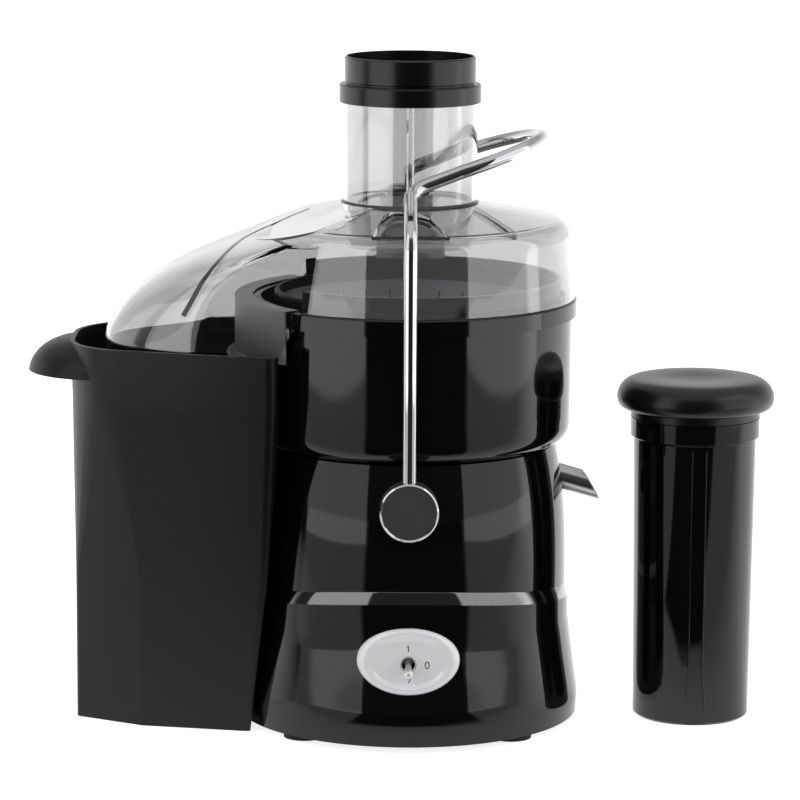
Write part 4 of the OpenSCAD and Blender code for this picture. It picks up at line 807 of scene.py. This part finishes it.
class JUICER_OT_switch_marks(bpy.types.Operator):
    """Moulds the switch's bezel, prints the digits on it and screws on the toggle's nut"""
    bl_idname = "juicer.switch_marks"
    bl_label = "Switch marks"

    def execute(self, context):
        look = context.scene.juicer_look
        bezel = finished("bezel_ring", self.bezel(), silver_paint(), "machine", sharp=40.0)
        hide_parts("switch_bezel")
        ink = print_ink()
        ellipse = [(math.sin(math.radians(a)), math.cos(math.radians(a))) for a in range(0, 361, 15)]
        hook = [(-1.1 + 1.05 * math.sin(math.radians(a)), 1.0 + 1.05 * math.cos(math.radians(a)))
                for a in range(-75, 131, 12)]
        digits = {
            "one": (0, 9.0, [(-0.75, 0.9), (0.05, 1.75), (0.05, -1.8)]),
            "nought": (11.0, -0.8, [(1.15 * x, 2.0 * z) for x, z in ellipse]),
            "two": (0, -10.5, [(x + 1.1, z) for x, z in hook] + [(-1.0, -2.0), (1.2, -2.0)]),
        }
        for name, (x, z, path) in digits.items():
            line = [(x + a, TOGGLE_Z + z + b) for a, b in path]
            mark = finished("mark_" + name, stroke(line, 0.55, DISH_Y - 0.06, DISH_Y + 0.1), ink, "machine")
        r0, r1 = 3.9 * MM, 5.1 * MM
        low, high, edge = -0.2 * MM, 0.7 * MM, 0.2 * MM
        nut = spun([(r0, low), (r1, low), (r1, high - edge), (r1 - edge, high), (r0, high)], (0, 0, 0), steps=64)
        bmesh.ops.rotate(nut, verts=nut.verts, matrix=Matrix.Rotation(math.radians(90), 3, "X"))
        bmesh.ops.translate(nut, verts=nut.verts, vec=at(0, DISH_Y - 0.7, TOGGLE_Z))
        piece = finished("toggle_nut", nut, nickel_plate(), "machine")
        return {"FINISHED"}

    @staticmethod
    def bezel():
        """The oval bezel: a full round rim on the curved skirt, round a flat dish with the toggle's hole"""
        skirt = [(16, 103), (43, 99.3), (64, 96.8), (88, 96.8)]

        def skin(x, z):
            i = max(k for k in range(3) if skirt[k][0] <= z)
            (z0, r0), (z1, r1) = skirt[i], skirt[i + 1]
            return math.sqrt((r0 + (r1 - r0) * (z - z0) / (z1 - z0)) ** 2 - x * x)

        rings = []
        # (half width, half height, rise over the skirt, share of the dish's flat level)
        for wide, high, rise, flat in ((29.6, 19.1, 0.05, 0), (30, 19.5, 0.3, 0), (29.9, 19.4, 1.0, 0),
                                       (29.3, 18.8, 1.8, 0), (28.2, 17.9, 2.5, 0), (26.9, 16.8, 2.9, 0),
                                       (25.6, 15.7, 2.9, 0.04),
                                       (24.4, 14.8, 2.7, 0.14), (23.2, 14.0, 2.3, 0.38), (22.2, 13.2, 1.9, 0.7),
                                       (21.4, 12.6, 1.6, 0.92), (20.6, 12.0, 1.5, 1), (5.3, 5.3, 0, 1)):
            rings.append((wide, high, rise, flat, 0))
        rings += [(5.3, 5.3, 0, 1, 1.2), (20.6, 12.0, 0, 1, 1.2), (25.8, 15.4, -1.5, 0, 0)]
        shapes = []
        for wide, high, rise, flat, sunk in rings:
            middle = TOGGLE_Z if wide < 6 else 54.5 - (0.75 if wide < 21.5 else 0)
            ring = []
            for i in range(96):
                x, z = wide * math.cos(math.pi * i / 48), middle + high * math.sin(math.pi * i / 48)
                depth = (1 - flat) * -(skin(x, z) + rise) + flat * DISH_Y
                ring.append(at(x, depth + sunk, z))
            shapes.append(ring)
        return lofted(shapes, around=True)


# The softboxes: name, azimuth from the front, half of the angle that each fills, and width
SOFTBOXES = (("left softbox", -53, 23.6, 1.05), ("right softbox", 69, 29.4, 1.35))
BOX_DISTANCE, BOX_MIDDLE, BOX_HEIGHT = 1.2, 0.75, 1.7
# Half of the floor's side, and how far it lies under the feet, so that it doesn't share their plane
FLOOR_HALF, FLOOR_GAP = 6.0, 0.0004
WHITE = (1, 1, 1, 1)


def white_sweep(studio):
    # Matt white table: white behind the machine and unlit in front of it, where only mirrors look
    material, tree, out = new_material("white sweep")
    path = add(tree, "ShaderNodeLightPath")
    place = add(tree, "ShaderNodeTexCoord")
    split = add(tree, "ShaderNodeSeparateXYZ", links={"Vector": place.outputs["Object"]})
    behind = add(tree, "ShaderNodeMapRange", {"From Min": -0.22, "From Max": 0.05}, {"Value": split.outputs["Y"]})
    mirrored = add(tree, "ShaderNodeMath", operation="MAXIMUM",
                   links={0: path.outputs["Is Glossy Ray"], 1: path.outputs["Is Transmission Ray"]})
    matt = add(tree, "ShaderNodeBsdfDiffuse", {"Color": (0.8, 0.8, 0.8, 1)})
    unlit = add(tree, "ShaderNodeBsdfDiffuse", {"Color": (0.03, 0.03, 0.03, 1)})
    # the softboxes light the table before them, so that their reflections reach down the machine's sides
    facing = add(tree, "ShaderNodeMath", {1: -1.0}, {0: split.outputs["Y"]}, operation="MULTIPLY")
    azimuth = add(tree, "ShaderNodeMath", links={0: split.outputs["X"], 1: facing.outputs[0]}, operation="ARCTAN2")
    lit = []
    for _, centre, half, _ in SOFTBOXES:
        off = add(tree, "ShaderNodeMath", {1: math.radians(centre)}, {0: azimuth.outputs[0]}, operation="SUBTRACT")
        off = add(tree, "ShaderNodeMath", links={0: off.outputs[0]}, operation="ABSOLUTE")
        lit.append(add(tree, "ShaderNodeMapRange", {
            "From Min": math.radians(half + 1.5), "From Max": math.radians(half - 1.5), "To Max": studio.table_level,
        }, {"Value": off.outputs[0]}))
    lit = add(tree, "ShaderNodeMath", operation="ADD",
              links={0: lit[0].outputs["Result"], 1: lit[1].outputs["Result"]})
    # so is the table close round the machine
    reach = add(tree, "ShaderNodeVectorMath", links={0: place.outputs["Object"]}, operation="LENGTH")
    near = add(tree, "ShaderNodeMapRange", {"From Min": 0.21, "From Max": 0.19, "To Max": studio.table_level},
               {"Value": reach.outputs["Value"]})
    lit = add(tree, "ShaderNodeMath", links={0: lit.outputs[0], 1: near.outputs["Result"]}, operation="MAXIMUM")
    pool = add(tree, "ShaderNodeEmission", {"Color": WHITE}, {"Strength": lit.outputs[0]})
    dark = add(tree, "ShaderNodeAddShader", links={0: unlit.outputs[0], 1: pool.outputs[0]})
    glow = add(tree, "ShaderNodeEmission", {"Color": WHITE, "Strength": 0.82})
    both = add(tree, "ShaderNodeAddShader", links={0: matt.outputs[0], 1: glow.outputs[0]})
    seen = add(tree, "ShaderNodeMixShader",
               links={0: behind.outputs["Result"], 1: dark.outputs[0], 2: both.outputs[0]})
    mix = add(tree, "ShaderNodeMixShader", links={0: mirrored.outputs[0], 1: matt.outputs[0], 2: seen.outputs[0]})
    mix = add(tree, "ShaderNodeMixShader",
              links={0: path.outputs["Is Camera Ray"], 1: mix.outputs[0], 2: both.outputs[0]})
    tree.links.new(mix.outputs[0], out.inputs["Surface"])
    return material


class JUICER_OT_studio(bpy.types.Operator):
    """Sets up the camera, floor, softboxes and white room"""
    bl_idname = "juicer.studio"
    bl_label = "Studio"

    def execute(self, context):
        scene, studio = context.scene, context.scene.juicer_studio
        scene.view_settings.view_transform = "Standard"
        self.place_camera(scene, studio)
        bm = bmesh.new()
        bmesh.ops.create_grid(bm, x_segments=1, y_segments=1, size=FLOOR_HALF)
        bmesh.ops.translate(bm, verts=bm.verts, vec=(0, 0, -FLOOR_GAP))
        floor = solid_object("floor", bm)
        floor.data.materials.append(white_sweep(studio))
        for name, azimuth, _, width in SOFTBOXES:
            self.hang_softbox(scene, name, azimuth, width, studio.box_level)
        self.light_room(scene, studio)
        return {"FINISHED"}

    @staticmethod
    def place_camera(scene, studio):
        """A long lens that looks down a little, from nearly straight in front"""
        lens = bpy.data.cameras.new("camera")
        lens.lens = studio.lens
        lens.sensor_width = 36
        lens.clip_start, lens.clip_end = 0.05, 50
        camera = bpy.data.objects.new("camera", lens)
        scene.collection.objects.link(camera)
        side = studio.camera_side
        camera.location = (AXIS_X - studio.camera_distance * math.sin(side),
                           -studio.camera_distance * math.cos(side), studio.camera_height)
        turn = Euler((math.pi / 2 - studio.camera_pitch, 0, -side + studio.camera_aim)).to_matrix()
        roll = Matrix.Rotation(studio.camera_roll, 3, "Z")
        camera.rotation_euler = (turn @ roll).to_euler()
        scene.camera = camera

    @staticmethod
    def hang_softbox(scene, name, azimuth, width, level):
        """A tall rectangular lamp that faces the machine"""
        lamp = bpy.data.lights.new(name, "AREA")
        lamp.shape = "RECTANGLE"
        lamp.size, lamp.size_y = width, BOX_HEIGHT
        lamp.energy = level * math.pi * width * BOX_HEIGHT
        obj = bpy.data.objects.new(name, lamp)
        scene.collection.objects.link(obj)
        a = math.radians(azimuth)
        obj.location = (BOX_DISTANCE * math.sin(a), -BOX_DISTANCE * math.cos(a), BOX_MIDDLE)
        obj.rotation_euler = (math.pi / 2, 0, a)

    @staticmethod
    def light_room(scene, studio):
        """A room that is white behind the machine and above it, and dim in front"""
        world = bpy.data.worlds.new("white room")
        scene.world = world
        world.use_nodes = True
        tree = world.node_tree
        tree.nodes.clear()
        out = add(tree, "ShaderNodeOutputWorld")
        path = add(tree, "ShaderNodeLightPath")
        place = add(tree, "ShaderNodeTexCoord")
        split = add(tree, "ShaderNodeSeparateXYZ", links={"Vector": place.outputs["Generated"]})
        behind = add(tree, "ShaderNodeMapRange", {"From Min": 0.0, "From Max": 0.12}, {"Value": split.outputs["Y"]})
        mirrored = add(tree, "ShaderNodeMath", operation="MAXIMUM",
                       links={0: path.outputs["Is Glossy Ray"], 1: path.outputs["Is Transmission Ray"]})
        above = add(tree, "ShaderNodeMapRange", {"From Min": 0.6, "From Max": 0.8, "To Max": studio.top_level},
                    {"Value": split.outputs["Z"]})
        # the backdrop is only so high
        fade = add(tree, "ShaderNodeMapRange", {
            "From Min": 0.12, "From Max": 0.5, "To Min": 1.0, "To Max": studio.back_level,
        }, {"Value": split.outputs["Z"]})
        low_back = add(tree, "ShaderNodeMath", links={0: behind.outputs["Result"], 1: fade.outputs["Result"]},
                       operation="MULTIPLY")
        lit = add(tree, "ShaderNodeMath", links={0: above.outputs["Result"], 1: low_back.outputs[0]},
                  operation="MAXIMUM")
        white_back = add(tree, "ShaderNodeMath", links={0: mirrored.outputs[0], 1: lit.outputs[0]},
                         operation="MULTIPLY")
        seen = add(tree, "ShaderNodeMath", links={0: path.outputs["Is Camera Ray"], 1: white_back.outputs[0]},
                   operation="MAXIMUM")
        dim = add(tree, "ShaderNodeBackground", {"Color": WHITE, "Strength": studio.room_level})
        front = add(tree, "ShaderNodeMapRange", {"To Min": studio.dark_level, "To Max": studio.through_level},
                    {"Value": path.outputs["Is Transmission Ray"]})
        dark = add(tree, "ShaderNodeBackground", {"Color": WHITE}, {"Strength": front.outputs["Result"]})
        dim = add(tree, "ShaderNodeMixShader", links={0: mirrored.outputs[0], 1: dim.outputs[0], 2: dark.outputs[0]})
        white = add(tree, "ShaderNodeBackground", {"Color": WHITE, "Strength": 1.0})
        mix = add(tree, "ShaderNodeMixShader", links={0: seen.outputs[0], 1: dim.outputs[0], 2: white.outputs[0]})
        tree.links.new(mix.outputs[0], out.inputs["Surface"])


class JUICER_PT_panel(bpy.types.Panel):
    """Lists the juicer's operators"""
    bl_idname = "JUICER_PT_panel"
    bl_label = "Juicer"
    bl_space_type = "VIEW_3D"
    bl_region_type = "UI"
    bl_category = "Juicer"

    def draw(self, context):
        for operator in OPERATORS:
            self.layout.operator(operator.bl_idname)


OPERATORS = [JUICER_OT_finishes, JUICER_OT_clear_lid, JUICER_OT_step_bevel, JUICER_OT_pusher_head,
             JUICER_OT_switch_marks, JUICER_OT_studio]
CLASSES = [JuicerLook, JuicerStudio, *OPERATORS, JUICER_PT_panel]


def register():
    for cls in CLASSES:
        bpy.utils.register_class(cls)
    bpy.types.Scene.juicer_look = PointerProperty(type=JuicerLook)
    bpy.types.Scene.juicer_studio = PointerProperty(type=JuicerStudio)


def unregister():
    del bpy.types.Scene.juicer_look
    del bpy.types.Scene.juicer_studio
    for cls in reversed(CLASSES):
        bpy.utils.unregister_class(cls)


def main():
    register()
    bpy.ops.juicer.finishes()
    bpy.ops.juicer.clear_lid()
    bpy.ops.juicer.step_bevel()
    bpy.ops.juicer.pusher_head()
    bpy.ops.juicer.switch_marks()
    bpy.ops.juicer.studio()


if __name__ == "__main__":
    main()
